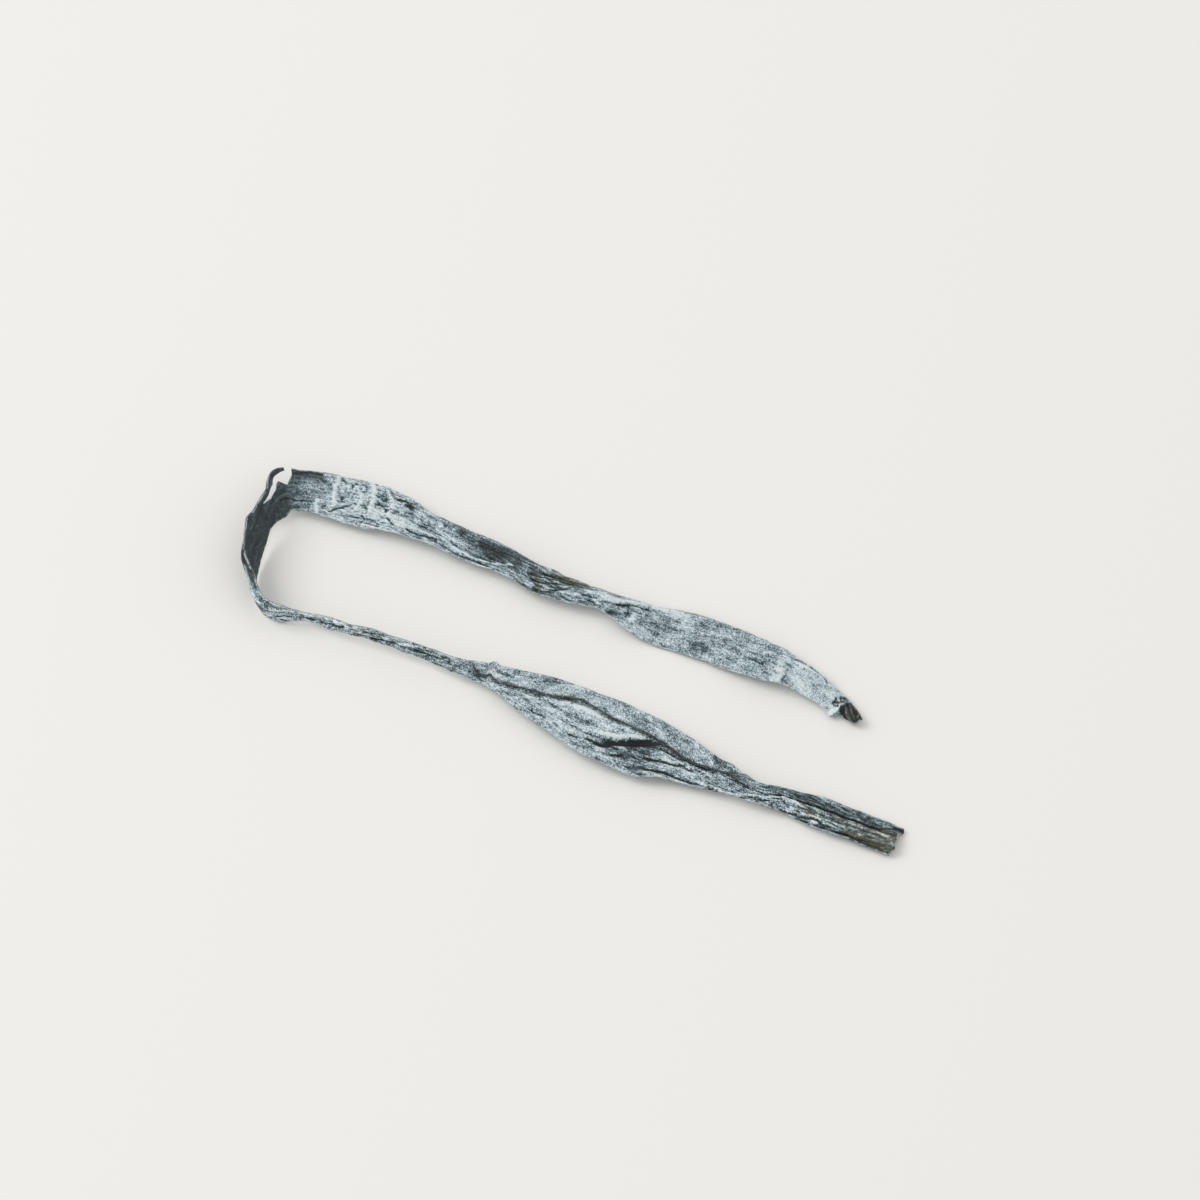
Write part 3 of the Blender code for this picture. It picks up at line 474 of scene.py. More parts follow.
def relief(along, across, lobes, width):
    """How far the blade stands off its plain form: lobes, folds, ruffles and wrinkles.
    Over 0 is towards face one, which is the upper face only as far as the loop."""
    phase = across / np.maximum(width, 2.0) * math.pi * 3.0
    phase = phase + 0.7 * waver(along, across, 17.0, 4)
    seen = np.clip((KNOTS[TURN - 2] - along) / 8.0, -1.0, 1.0)
    height = seen * lobes * (np.sqrt(np.sin(phase + 0.4) ** 2 + 0.02) - 0.6)
    for arm, x_from, x_to, at_from, at_to, rise, breadth, kind in FOLDS:
        start, end = sorted((place_on(arm, x_from), place_on(arm, x_to)))
        if arm == "upper":
            at_from, at_to = at_to, at_from
        else:
            rise = -rise
        part = (along - start) / (end - start)
        centre = at_from + (at_to - at_from) * part + 0.35 * waver(along, across, 9.0, 5)
        fade = smooth_step(part * 4.0) * smooth_step((1.0 - part) * 4.0)
        off = (across - centre) / breadth
        if kind == "sharp":
            shape = np.exp(-np.abs(off))
        elif kind == "soft":
            shape = np.exp(-off * off)
        else:
            shape = np.where(off < 0.0, np.exp(-np.abs(off)), 1.0 - smooth_step(off * 3.0))
        height = height + rise * fade * shape
    # A ridge across the blade, after which it slopes down to the tail.
    past = (along - place_on("upper", RIDGE_X) - 0.25 * across) / RIDGE_WIDTH
    height = height + RIDGE * np.exp(-past * past) * smooth_step((4.0 - across) / 3.0)
    # A small rolled ring on the tail, where the blade ends.
    ring = np.hypot(along - KNOTS[TAIL] - 1.9, across + 1.1)
    rim, hollow = np.exp(-(((ring - 1.5) / 0.45) ** 2)), np.exp(-((ring / 0.9) ** 2))
    height = height + 0.5 * rim - 0.5 * hollow
    ruffle = waver(along, across, 11.0, 11) * np.minimum(np.abs(across) / 11.0, 1.0) ** 2
    wrinkle = patchy(along, across, 13.0, 1.9, 12) * (0.24 + 0.22 * lobes)
    lump = patchy(along, across, 8.0, 5.0, 13) * 0.5
    return height + 0.8 * ruffle + wrinkle + lump


def margins(along):
    """The back and front half-widths with their small unevenness, nicks and torn bits."""
    back = ribbon_at(along, BACK) + 0.22 * waver(along, along, 6.0, 21)
    front = ribbon_at(along, FRONT) + 0.22 * waver(along, along, 5.0, 22)
    torn_bit, step, spike = place_on("lower", 62), place_on("upper", -77), place_on("lower", -32)
    flare, shoulder = KNOTS[TURN - 3] + 0.5, KNOTS[TURN - 4] - 3.5
    bits = ((torn_bit, 6.0, 1.3), (step, 5.0, 0.8), (spike, 2.2, 1.6))
    bits += ((flare, 3.6, 1.3), (shoulder, 4.0, 1.0))
    for place, length, size in bits:
        back = back + size * np.clip(1.0 - np.abs(along - place) / length, 0.0, 1.0)
    return back, front


def folded_over(along):
    """How much of the back margin is folded over, and how far it is turned, 0 to 1."""
    folded = ribbon_at(along, FOLDED)
    return folded, smooth_step(folded / FULL_FOLD)


def developed_width(along):
    """The width of the opened blade."""
    back, front = margins(along)
    folded, turned = folded_over(along)
    return back + front + folded + FOLD_LENGTH * turned * 0.5


def section(along, share):
    """The cross-section at each place: how far its points lie from the middle and how high,
    and how far across the opened blade. The share runs from the front margin (0) to the
    back one (1)."""
    back, front = margins(along)
    folded, turned = folded_over(along)
    fold = FOLD_ANGLE * turned
    length = developed_width(along)
    fine = np.linspace(0.0, 1.0, STEPS + 1)
    bend_from = 1.0 - (folded + FOLD_LENGTH) / length
    # Beyond the fold the margin follows the blade that it lies on.
    turned_at = 1.0 - (folded + FOLD_LENGTH / 2.0) / length * fold / FOLD_ANGLE
    followed = np.minimum(fine, 2.0 * turned_at[:, None] - fine)
    angle = ribbon_at(along, BEND)[:, None] * (followed - 0.5)
    bend = (fine - bend_from[:, None]) * (length / FOLD_LENGTH)[:, None]
    angle = angle - fold[:, None] * smooth_step(bend)
    curl_from = 1.0 - 5.0 / length
    curl = np.clip((fine - curl_from[:, None]) / (1.0 - curl_from[:, None]), 0.0, 1.0)
    angle = np.radians(angle + ribbon_at(along, CURL)[:, None] * curl)
    step = (length / STEPS)[:, None]
    middle = (angle[:, 1:] + angle[:, :-1]) / 2.0
    zero = np.zeros((len(along), 1))
    x = np.concatenate([zero, np.cumsum(np.cos(middle) * step, axis=1)], axis=1)
    h = np.concatenate([zero, np.cumsum(np.sin(middle) * step, axis=1)], axis=1)
    low = x.min(axis=1, keepdims=True)
    scale = (back + front)[:, None] / (x.max(axis=1, keepdims=True) - low)
    x = (x - low) * scale - front[:, None]
    h = h * scale
    at_middle = np.argmin(np.abs(x) + 10.0 * (fine > bend_from[:, None]), axis=1)
    rows = np.arange(len(along))
    h = h - h[rows, at_middle][:, None]
    across = (fine - fine[at_middle][:, None]) * length[:, None]

    def at_share(value):
        return np.array([np.interp(share[i], fine, value[i]) for i in rows])

    return at_share(x), at_share(h), at_share(across)


def columns_of(along, length):
    """The share of the width at each column, closer together at the folded margin."""
    folded, turned = folded_over(along)
    bend = FOLD_LENGTH + 0.6
    zone = np.minimum(EDGE_ZONE, 0.36 * length) * (1 - turned) + (folded + bend) * turned
    bend_part = (bend / (folded + bend))[:, None]
    on_bend = bend_part * np.linspace(0.0, 1.0, BEND_COLUMNS + 1)
    beyond = np.linspace(0.0, 1.0, EDGE_COLUMNS - BEND_COLUMNS + 1)[1:]
    past_bend = bend_part + (1 - bend_part) * beyond
    uneven = np.concatenate([on_bend, past_bend], axis=1)
    even = np.linspace(0.0, 1.0, EDGE_COLUMNS + 1)
    inner = even * (1 - turned)[:, None] + uneven * turned[:, None]
    start = (1.0 - zone / length)[:, None]
    main_part = start * np.linspace(0.0, 1.0, MAIN_COLUMNS + 1)[:-1]
    return np.concatenate([main_part, start + (1.0 - start) * inner], axis=1)


def middle_surface(along, share):
    """Points of the middle of the plain blade, the height of its relief there, how far
    across the opened blade they lie, and how much the relief is held back."""
    x, h, across = section(along, share)
    spine = spine_at(along)
    # The ribbon turns over a few millimetres, so that its inner margin doesn't bunch.
    tangent = spine_at(np.minimum(along + 4.0, KNOTS[-1])) - spine_at(np.maximum(along - 4.0, 0.0))
    tangent /= np.linalg.norm(tangent, axis=1, keepdims=True)
    side = np.cross(tangent, [0.0, 0.0, 1.0])
    side /= np.linalg.norm(side, axis=1, keepdims=True)
    rise = np.cross(side, tangent)
    roll = np.radians(path_through(KNOTS, TABLE[:, ROLL], along))[:, None]
    over = np.cos(roll) * side + np.sin(roll) * rise
    normal = np.cross(over, tangent)
    width = (ribbon_at(along, BACK) + ribbon_at(along, FRONT))[:, None]
    points = spine[:, None, :] + x[:, :, None] * over[:, None, :]
    points = points + h[:, :, None] * normal[:, None, :]
    # Both ends are cut and broken unevenly.
    ragged = 0.8 * patchy(0 * across, across, 9.0, 1.5, 31) + np.exp(-((across - 6.3) ** 2))
    from_cut = smooth_step(1.0 - (KNOTS[-1] - along) / 4.0)[:, None] * ragged
    from_tail = smooth_step(1.0 - along / 2.0)[:, None] * ragged * 0.5
    points = points + (from_cut + from_tail)[:, :, None] * tangent[:, None, :]
    lobes = ribbon_at(along, LOBES)[:, None]
    off = relief(along[:, None] + 0 * across, across, lobes, width)
    # The folded margin and the blade under it stay nearly plain, clear of each other.
    folded = ribbon_at(along, FOLDED)[:, None]
    to_margin = developed_width(along)[:, None] * (1.0 - share)
    under = smooth_step((2.0 * folded + FOLD_LENGTH + 3.4 - to_margin) / 2.8)
    under = under * smooth_step(folded / 1.5)
    # So does the inner margin where the run turns sharply.
    turning = np.exp(-(((along - KNOTS[TURN - 3]) / 20.0) ** 2))[:, None]
    turning = turning * smooth_step((0.4 - share) / 0.4)
    held = (1.0 - 0.85 * under) * (1.0 - 0.85 * turning)
    return points, off * held, across, held


def row_places():
    """Places along the ribbon, with rows at the ends of each torn place."""
    crinkled = place_on("upper", -62)
    corner = KNOTS[CORNER] + 3.0
    tip = KNOTS[FIRST_TEAR] - 1.5
    root = KNOTS[SECOND_TEAR] + 5.0
    stops = (KNOTS[TAIL], crinkled, corner, tip, root, KNOTS[TURN], KNOTS[-1])
    places = [0.0]
    marks = []
    for end, density in zip(stops, (1.8, 0.86, 1.4, 1.6, 1.4, 0.95, 1.0)):
        start = places[-1]
        count = max(2, round((end - start) * ROWS_PER_MM * density))
        places.extend(np.linspace(start, end, count + 1)[1:])
        marks.append(len(places) - 1)
    return np.array(places), marks[2], marks[3], marks[4]


def torn_shift(along, corner, tip, root):
    """How far the torn boundary of the blade draws back from the slit beside the shred."""
    part = np.clip((root - along) / (root - tip), 0.0, 1.0)
    tooth = 1.9 * np.clip(1.0 - np.abs(part - 0.8) / 0.13, 0.0, 1.0)
    shift = 0.4 * np.clip(part * 9.0, 0.0, 1.0) + 3.2 * part - tooth
    shift -= 4.4 * np.clip((tip - along) / (tip - corner), 0.0, 1.0)
    return np.where((along >= corner) & (along < root), shift, 0.0)


def shred_width(along, tip, root):
    """How much of its width the shred keeps towards its pointed tip."""
    part = np.clip((root - along) / (root - tip), 0.0, 1.0)
    tooth = 0.24 * np.clip(1.0 - np.abs(part - 0.62) / 0.12, 0.0, 1.0)
    point = 0.25 * np.clip((part - 0.86) / 0.14, 0.0, 1.0)
    return 1.0 - 0.36 * smooth_step((part - 0.15) / 0.4) + tooth - point


def blurred(field, down, over):
    """The field with each value spread over its neighbours along and across."""
    for axis, reach in ((0, down), (1, over)):
        span = round(3 * reach)
        weights = np.exp(-0.5 * (np.arange(-span, span + 1) / reach) ** 2)
        weights /= weights.sum()
        added = [(span, span) if a == axis else (0, 0) for a in (0, 1)]
        padded = np.pad(field, added, mode="edge")
        total = np.zeros_like(field)
        for k, weight in enumerate(weights):
            total += weight * np.take(padded, np.arange(field.shape[axis]) + k, axis=axis)
        field = total
    return field


def cells(along, across, size_along, size_across, seed):
    """How far each place is from the border of its cell, among cells strewn unevenly."""
    shift = np.random.default_rng(seed).uniform(0.0, 1.0, (*LATTICE, 2))
    u = along / size_along + 5.0
    v = across / size_across + 60.0
    row, column = np.floor(u).astype(int), np.floor(v).astype(int)
    nearest = np.full(u.shape, 9.0)
    second = np.full(u.shape, 9.0)
    for down in (-1, 0, 1):
        for over in (-1, 0, 1):
            spot = lattice_value(shift, row + down, column + over)
            gap = np.hypot(row + down + spot[..., 0] - u, column + over + spot[..., 1] - v)
            second = np.minimum(second, np.maximum(nearest, gap))
            nearest = np.minimum(nearest, gap)
    return second - nearest


def looks_of(along, across):
    """The looks of the shown face at each place."""
    table = np.array(LOOKS)
    places = np.interp(table[:, 0], np.arange(len(KNOTS)), KNOTS)
    looks = {}
    for k, name in enumerate(LOOK_NAMES):
        looks[name] = curve_through(places, table[:, k + 1], along[:, 0])[:, None] + 0 * across
    for arm, x, at, reach_along, reach_across, name, amount in PATCHES:
        off = ((along - place_on(arm, x)) / reach_along) ** 2 + ((across - at) / reach_across) ** 2
        looks[name] = looks[name] + amount * np.exp(-off)
    return looks


def rolling(along, across, step_along, step_across, seed):
    """Hills and hollows from about -1 to 1, each about two steps wide."""
    angles = np.random.default_rng(seed).uniform(0.0, 2.0 * math.pi, LATTICE)
    place = lattice_place(along, across, (step_along, step_across), (7.3, 60.4))
    row, column, part_u, part_v = place
    mixed = []
    for down in (0, 1):
        pair = []
        for over in (0, 1):
            angle = lattice_value(angles, row + down, column + over)
            pair.append(np.cos(angle) * (part_u - down) + np.sin(angle) * (part_v - over))
        mixed.append(pair[0] + (pair[1] - pair[0]) * smooth_step(part_v))
    return 1.6 * (mixed[0] + (mixed[1] - mixed[0]) * smooth_step(part_u))


def marked(along, across, face):
    """What the marks of one face do at each place: rise, paleness and bareness."""
    sway_along = along + 0.5 * rolling(along, across, 2.6, 2.2, 71)
    sway_across = across + 0.4 * rolling(along, across, 3.4, 1.8, 72)
    uneven = 0.95 + 0.5 * rolling(along, across, 2.2, 1.4, 73)
    rise, pale, bare = (np.zeros_like(across) for _ in range(3))
    for kind, strength, breadth, on_face, run in MARKS:
        if on_face != face:
            continue
        run = np.array(run, float)
        low, high = run[:, 0].min() - 4.0 * breadth, run[:, 0].max() + 4.0 * breadth
        near = (along[:, 0] > low) & (along[:, 0] < high)
        here_along, here_across = sway_along[near], sway_across[near]
        gap = np.full(here_along.shape, 99.0)
        for start, end in zip(run[:-1], run[1:]):
            step = end - start
            part = (here_along - start[0]) * step[0] + (here_across - start[1]) * step[1]
            part = np.clip(part / (step @ step), 0.0, 1.0)
            off_along = here_along - start[0] - part * step[0]
            off_across = here_across - start[1] - part * step[1]
            gap = np.minimum(gap, np.hypot(off_along, off_across))
        amount = strength * uneven[near] * np.exp(-((gap / (0.54 * breadth)) ** 2))
        up, paler, barer = MARK_KINDS[kind]
        rise[near] += up * amount
        pale[near] += paler * amount
        bare[near] += barer * amount
    return rise, pale, bare


def fine_relief(along, across, looks, seed):
    """The small wrinkles, puckers and grains of one face, over 0 away from the blade."""
    sway_along = along + 1.6 * rolling(along, across, 5.0, 4.0, seed)
    sway_across = across + 0.9 * rolling(along, across, 6.0, 3.2, seed + 1)
    drift = across + 1.1 * rolling(along, across, 17.0, 6.0, seed + 2)
    broad = 1.0 - 2.4 * np.abs(rolling(along, drift, 12.0, 2.8, seed + 3))
    narrow = 1.0 - 2.4 * np.abs(rolling(sway_along, drift, 6.5, 1.4, seed + 4))
    thread = rolling(along, drift, 4.5, 0.8, seed + 5)
    grain = rolling(sway_along, sway_across, 1.9, 1.4, seed + 6)
    height = looks["wrinkled"] * (0.2 * broad + 0.17 * narrow + 0.07 * thread) + 0.09 * grain
    border = cells(sway_along, sway_across, 4.2, 3.4, seed + 7)
    pucker = np.exp(-((border / 0.16) ** 2)) - 0.5 * np.exp(-(((border - 0.5) / 0.3) ** 2))
    return height + 0.22 * looks["puckered"] * pucker


class Blade:
    """The blade on its grid of rows and columns: places, heights and looks."""

    def __init__(self):
        self.along, self.corner, self.tip, self.root = row_places()
        length = developed_width(self.along)
        share = columns_of(self.along, length)
        self.rows, self.columns = share.shape
        self.slit = self.columns - 1 - SHRED_COLUMNS
        into = np.arange(self.columns) - self.slit + GIVING_COLUMNS
        give = np.clip(into / GIVING_COLUMNS, 0.0, 1.0)
        give[self.slit + 1 :] = 0.0
        marks = (self.along[self.corner], self.along[self.tip], self.along[self.root])
        drawn = torn_shift(self.along, *marks)[:, None] * give[None, :]
        torn_share = np.clip(share - drawn / length[:, None], 0.0, 1.0)
        self.torn = self.surface(torn_share)
        kept = shred_width(self.along, marks[1], marks[2])[:, None]
        self.whole = self.surface(1.0 - (1.0 - share) * kept)

    def surface(self, share):
        """Everything known of one surface: of the blade as torn, or whole for the shred."""
        points, off, across, held = middle_surface(self.along, share)
        along = self.along[:, None] + 0 * across
        looks = looks_of(along, across)
        marks = [marked(along, across, face) for face in (1, 2)]
        # A mark in the thin blade shows through on its other face.
        off = off + held * (marks[0][0] - marks[1][0])
        length = developed_width(self.along)[:, None]
        end = np.minimum(along, KNOTS[-1] - along)
        margin = np.minimum(np.minimum(share, 1.0 - share) * length, end)
        # The margin that is folded over keeps a bare, dark edge.
        folded, turned = (value[:, None] for value in folded_over(self.along))
        to_back = (1.0 - share) * length
        varied = rolling(along, 0 * across, 6.0, 9.0, 74)
        seam = turned * np.exp(-((to_back / (0.6 + 0.25 * varied)) ** 2))
        # Beyond the folded margin's free edge, the blade under it gets a painted shadow: darker
        # and barer.
        beside = (to_back - 2.0 * folded - FOLD_LENGTH - 0.1) / (0.7 + 0.3 * varied)
        flap_shadow = turned * np.exp(-beside * beside)
        surface = {"points": points, "off": off, "across": across, "margin": margin}
        for side, sign in ((0, 1.0), (1, -1.0)):
            fine = fine_relief(along, across, looks, 40 + 20 * side) * held
            ridge = sign * off + fine
            surface["fine", side] = fine
            # The relief's small crests and hollows, which the finish paints as highlight and
            # shade.
            surface["ridge", side] = ridge - blurred(ridge, 1.2, 2.2)
            darker, barer = ((0.7 * seam, 0.9 * seam), (0.35 * flap_shadow, 0.4 * flap_shadow))[side]
            surface["pale", side] = marks[side][1] - darker
            surface["olive", side] = looks["olive"] + marks[side][2] + barer
            for name in ("bloom", "wrinkled"):
                surface[name, side] = looks[name]
        return surface


def flat_grid(blade):
    """The opened blade as a flat grid, with its torn corner cut out and its slit open."""
    bpy.ops.object.select_all(action="DESELECT")
    across, down = blade.columns - 1, blade.rows - 1
    bpy.ops.mesh.primitive_grid_add(x_subdivisions=across, y_subdivisions=down, size=2.0)
    strip = bpy.context.object
    strip.name = "kelp_blade"
    mesh = strip.data
    mesh.name = "kelp_blade"
    row, column = grid_places(mesh, blade)
    corners = np.array([tuple(face.vertices) for face in mesh.polygons])
    face_row = row[corners].min(axis=1)
    face_column = column[corners].min(axis=1)
    gone = (face_row >= blade.corner) & (face_row < blade.tip) & (face_column >= blade.slit)
    choose(mesh, faces=gone)
    edit(lambda: bpy.ops.mesh.delete(type="FACE"), "FACE")
    row, column = grid_places(mesh, blade)
    ends = np.array([tuple(edge.vertices) for edge in mesh.edges])
    on_slit = (column[ends] == blade.slit).all(axis=1)
    on_slit &= (row[ends].min(axis=1) >= blade.tip) & (row[ends].max(axis=1) <= blade.root)
    choose(mesh, edges=on_slit)
    edit(lambda: bpy.ops.mesh.edge_split(type="EDGE"), "EDGE")
    return strip


def grid_places(mesh, blade):
    """The row and column of every vertex while the grid is flat."""
    flat = read(mesh.vertices, "co", 3)
    column = np.rint((flat[:, 0] + 1.0) / 2.0 * (blade.columns - 1)).astype(int)
    row = np.rint((flat[:, 1] + 1.0) / 2.0 * (blade.rows - 1)).astype(int)
    return row, column


def read(items, name, width):
    """One property of all vertices, edges or faces, one row each."""
    values = np.empty(len(items) * width)
    items.foreach_get(name, values)
    return values.reshape(-1, width)


def choose(mesh, faces=None, edges=None):
    """Selects these faces or edges, and nothing else."""
    for items in (mesh.vertices, mesh.edges, mesh.polygons):
        items.foreach_set("select", [False] * len(items))
    if faces is not None:
        mesh.polygons.foreach_set("select", faces)
        corners = [tuple(mesh.polygons[int(i)].vertices) for i in np.flatnonzero(faces)]
        chosen = np.zeros(len(mesh.vertices), bool)
        chosen[np.concatenate(corners)] = True
        mesh.vertices.foreach_set("select", chosen)
    if edges is not None:
        mesh.edges.foreach_set("select", edges)
    mesh.update()


def edit(work, mode):
    """Does one step of work in edit mode."""
    bpy.ops.object.mode_set(mode="EDIT")
    bpy.ops.mesh.select_mode(type=mode)
    work()
    bpy.ops.object.mode_set(mode="OBJECT")


def give_attribute(mesh, name, values):
    kind, field = ("FLOAT", "value") if values.ndim == 1 else ("FLOAT_VECTOR", "vector")
    layer = mesh.attributes.new(name, kind, "POINT")
    layer.data.foreach_set(field, values.astype(np.float32).ravel())


def laid(points):
    """Turned so that the arms run along X, set down on the table over the solid's place."""
    turn = math.radians(PLAN_TURN)
    x = points[:, 0] * math.cos(turn) - points[:, 1] * math.sin(turn)
    y = points[:, 0] * math.sin(turn) + points[:, 1] * math.cos(turn)
    drop = points[:, 2].min() + FLAT
    middle = (Vector(cad_low) + Vector(cad_high)) * (METRE / 2)
    shift_x = middle.x - (x.min() + x.max()) / 2
    shift_y = middle.y - (y.min() + y.max()) / 2
    z = np.maximum(points[:, 2] - drop, 0.0)
    return np.stack([x + shift_x, y + shift_y, z], axis=1), (shift_x, shift_y, drop)


def places_of_shred(mesh, blade, row, column):
    """Whether each vertex belongs to the shred alone."""
    corners = np.array([tuple(face.vertices) for face in mesh.polygons])
    face_column = column[corners].min(axis=1)
    in_shred = np.zeros(len(mesh.vertices), bool)
    in_shred[corners[face_column >= blade.slit].ravel()] = True
    in_blade = np.zeros(len(mesh.vertices), bool)
    in_blade[corners[face_column < blade.slit].ravel()] = True
    return in_shred & ~in_blade & (row >= blade.tip) & (row < blade.root)


def thicken(strip, margin):
    """Gives the blade its two faces and a wall that thins towards the margins."""
    group = strip.vertex_groups.new(name="thickness")
    share = (RIM_THICK + (THICK - RIM_THICK) * smooth_step(margin / RIM_REACH)) / THICK
    for k, part in enumerate(share):
        group.add([k], float(part), "REPLACE")
    wall = strip.modifiers.new("wall", "SOLIDIFY")
    wall.thickness = THICK * MM
    wall.offset = 0.0
    wall.vertex_group = "thickness"
    wall.thickness_vertex_group = 0.0
    bpy.ops.object.modifier_apply(modifier="wall")


def make_blade():
    """The kelp strip's skin: a grid laid out in its true form, thickened and wrinkled."""
    blade = Blade()
    strip = flat_grid(blade)
    mesh = strip.data
    row, column = grid_places(mesh, blade)
    torn_off = places_of_shred(mesh, blade, row, column)

    def pick(key):
        chosen = blade.torn[key][row, column]
        chosen[torn_off] = blade.whole[key][row[torn_off], column[torn_off]]
        return chosen

    margin = pick("margin")
    beside_slit = (row > blade.corner) & (row < blade.root)
    to_slit = np.abs(column - blade.slit) * SLIT_COLUMN
    margin = np.where(beside_slit, np.minimum(margin, to_slit), margin)
    mesh.vertices.foreach_set("co", (pick("points") * MM).ravel())
    mesh.update()
    thicken(strip, margin)
    count = len(row)
    thick = read(mesh.vertices, "co", 3) * METRE
    one, two = thick[:count], thick[count : 2 * count]
    # Face one is the upper one on the upper arm.
    outward = one - two
    outward /= np.linalg.norm(outward, axis=1, keepdims=True)
    upper_arm = (blade.along[row] > KNOTS[PLAIN_FROM]) & (blade.along[row] < KNOTS[PLAIN_TO])
    face_one_first = outward[upper_arm, 2].mean() > 0.0
    if not face_one_first:
        one, two = two, one
        outward = -outward
    off = pick("off")
    order = (0, 1) if face_one_first else (1, 0)
    sides = []
    for side in order:
        start, sign = ((one, 1.0), (two, -1.0))[side]
        sides.append(start + outward * (off + sign * pick(("fine", side)))[:, None])
    points, shift = laid(np.concatenate(sides))
    mesh.vertices.foreach_set("co", (points * MM).ravel())
    mesh.update()
    along, across = blade.along[row], pick("across")
    face = [np.full(count, FACES_APART * side) for side in order]
    opened = [np.stack([along, across, third], axis=1) for third in face]
    give_attribute(mesh, "opened", np.concatenate(opened))
    give_attribute(mesh, "margin", np.concatenate([margin, margin]))
    for name in ("ridge", "pale", "olive", "bloom", "wrinkled"):
        give_attribute(mesh, name, np.concatenate([pick((name, side)) for side in order]))
    strip.vertex_groups.clear()
    return strip, shift


class Wire:
    """A shader value. Sums, products and the like add the Math nodes that work them out."""

    def __init__(self, finish, socket):
        self.finish = finish
        self.socket = socket

    def math(self, operation, first, second=None):
        values = {0: first} if second is None else {0: first, 1: second}
        return self.finish.node("ShaderNodeMath", {"operation": operation}, values)

    def __add__(self, other):
        return self.math("ADD", self, other)

    def __radd__(self, other):
        return self.math("ADD", other, self)

    def __sub__(self, other):
        return self.math("SUBTRACT", self, other)

    def __rsub__(self, other):
        return self.math("SUBTRACT", other, self)

    def __mul__(self, other):
        return self.math("MULTIPLY", self, other)

    def __rmul__(self, other):
        return self.math("MULTIPLY", other, self)

    def __truediv__(self, other):
        return self.math("DIVIDE", self, other)

    def __rtruediv__(self, other):
        return self.math("DIVIDE", other, self)

    def __abs__(self):
        return self.math("ABSOLUTE", self)

    def between(self, low, high):
        """0 below low, 1 above high, and smooth between them."""
        settings = {"interpolation_type": "SMOOTHSTEP"}
        values = {"Value": self, "From Min": low, "From Max": high}
        return self.finish.node("ShaderNodeMapRange", settings, values)


class Finish:
    """A material, whose nodes are all made by one method."""

    def __init__(self, name):
        self.material = bpy.data.materials.new(name)
        self.material.use_nodes = True
        self.tree = self.material.node_tree
        self.shader = self.tree.nodes["Principled BSDF"]

    def node(self, kind, settings=None, values=None, out=0):
        made = self.tree.nodes.new(kind)
        for name, value in (settings or {}).items():
            if name == "stops":
                self.set_stops(made.color_ramp, value)
            else:
                setattr(made, name, value)
        for name, value in (values or {}).items():
            self.feed(made.inputs[name], value)
        return Wire(self, made.outputs[out])

    def set_stops(self, ramp, stops):
        while len(ramp.elements) < len(stops):
            ramp.elements.new(1.0)
        for element, (place, colour) in zip(ramp.elements, stops):
            element.position = place
            element.color = colour

    def feed(self, socket, value):
        if isinstance(value, Wire):
            self.tree.links.new(value.socket, socket)
        else:
            socket.default_value = value

    def attribute(self, name, out="Fac"):
        return self.node("ShaderNodeAttribute", {"attribute_name": name}, out=out)

    def noise(self, vector, stretch, scale, detail, rough, bent=0.0):
        """Uneven values from 0 to 1, the vector stretched by three numbers first."""
        settings = {"operation": "MULTIPLY"}
        vector = self.node("ShaderNodeVectorMath", settings, {0: vector, 1: stretch})
        values = {"Vector": vector, "Scale": scale, "Detail": detail}
        values.update({"Roughness": rough, "Distortion": bent})
        return self.node("ShaderNodeTexNoise", {}, values)

    def mix(self, amount, first, second):
        values = {0: amount, 6: first, 7: second}
        return self.node("ShaderNodeMix", {"data_type": "RGBA"}, values, out=2)


def paint(red, green, blue):
    """A colour as seen, 0 to 255 a channel, for a shader socket."""
    linear = []
    for channel in (red, green, blue):
        c = channel / 255.0
        linear.append(c / 12.92 if c <= 0.04045 else ((c + 0.055) / 1.055) ** 2.4)
    return (*linear, 1.0)


# The darkest kelp, also used as painted shade in the creases.
DARK_KELP_AND_SHADE = paint(26, 30, 31)
DULL = paint(58, 69, 73)
SLATE = paint(94, 111, 118)
HAZE = paint(145, 166, 174)
PALE = paint(192, 210, 217)
SALT = paint(228, 237, 241)
OLIVE = paint(92, 90, 68)
CREAM = paint(214, 206, 170)


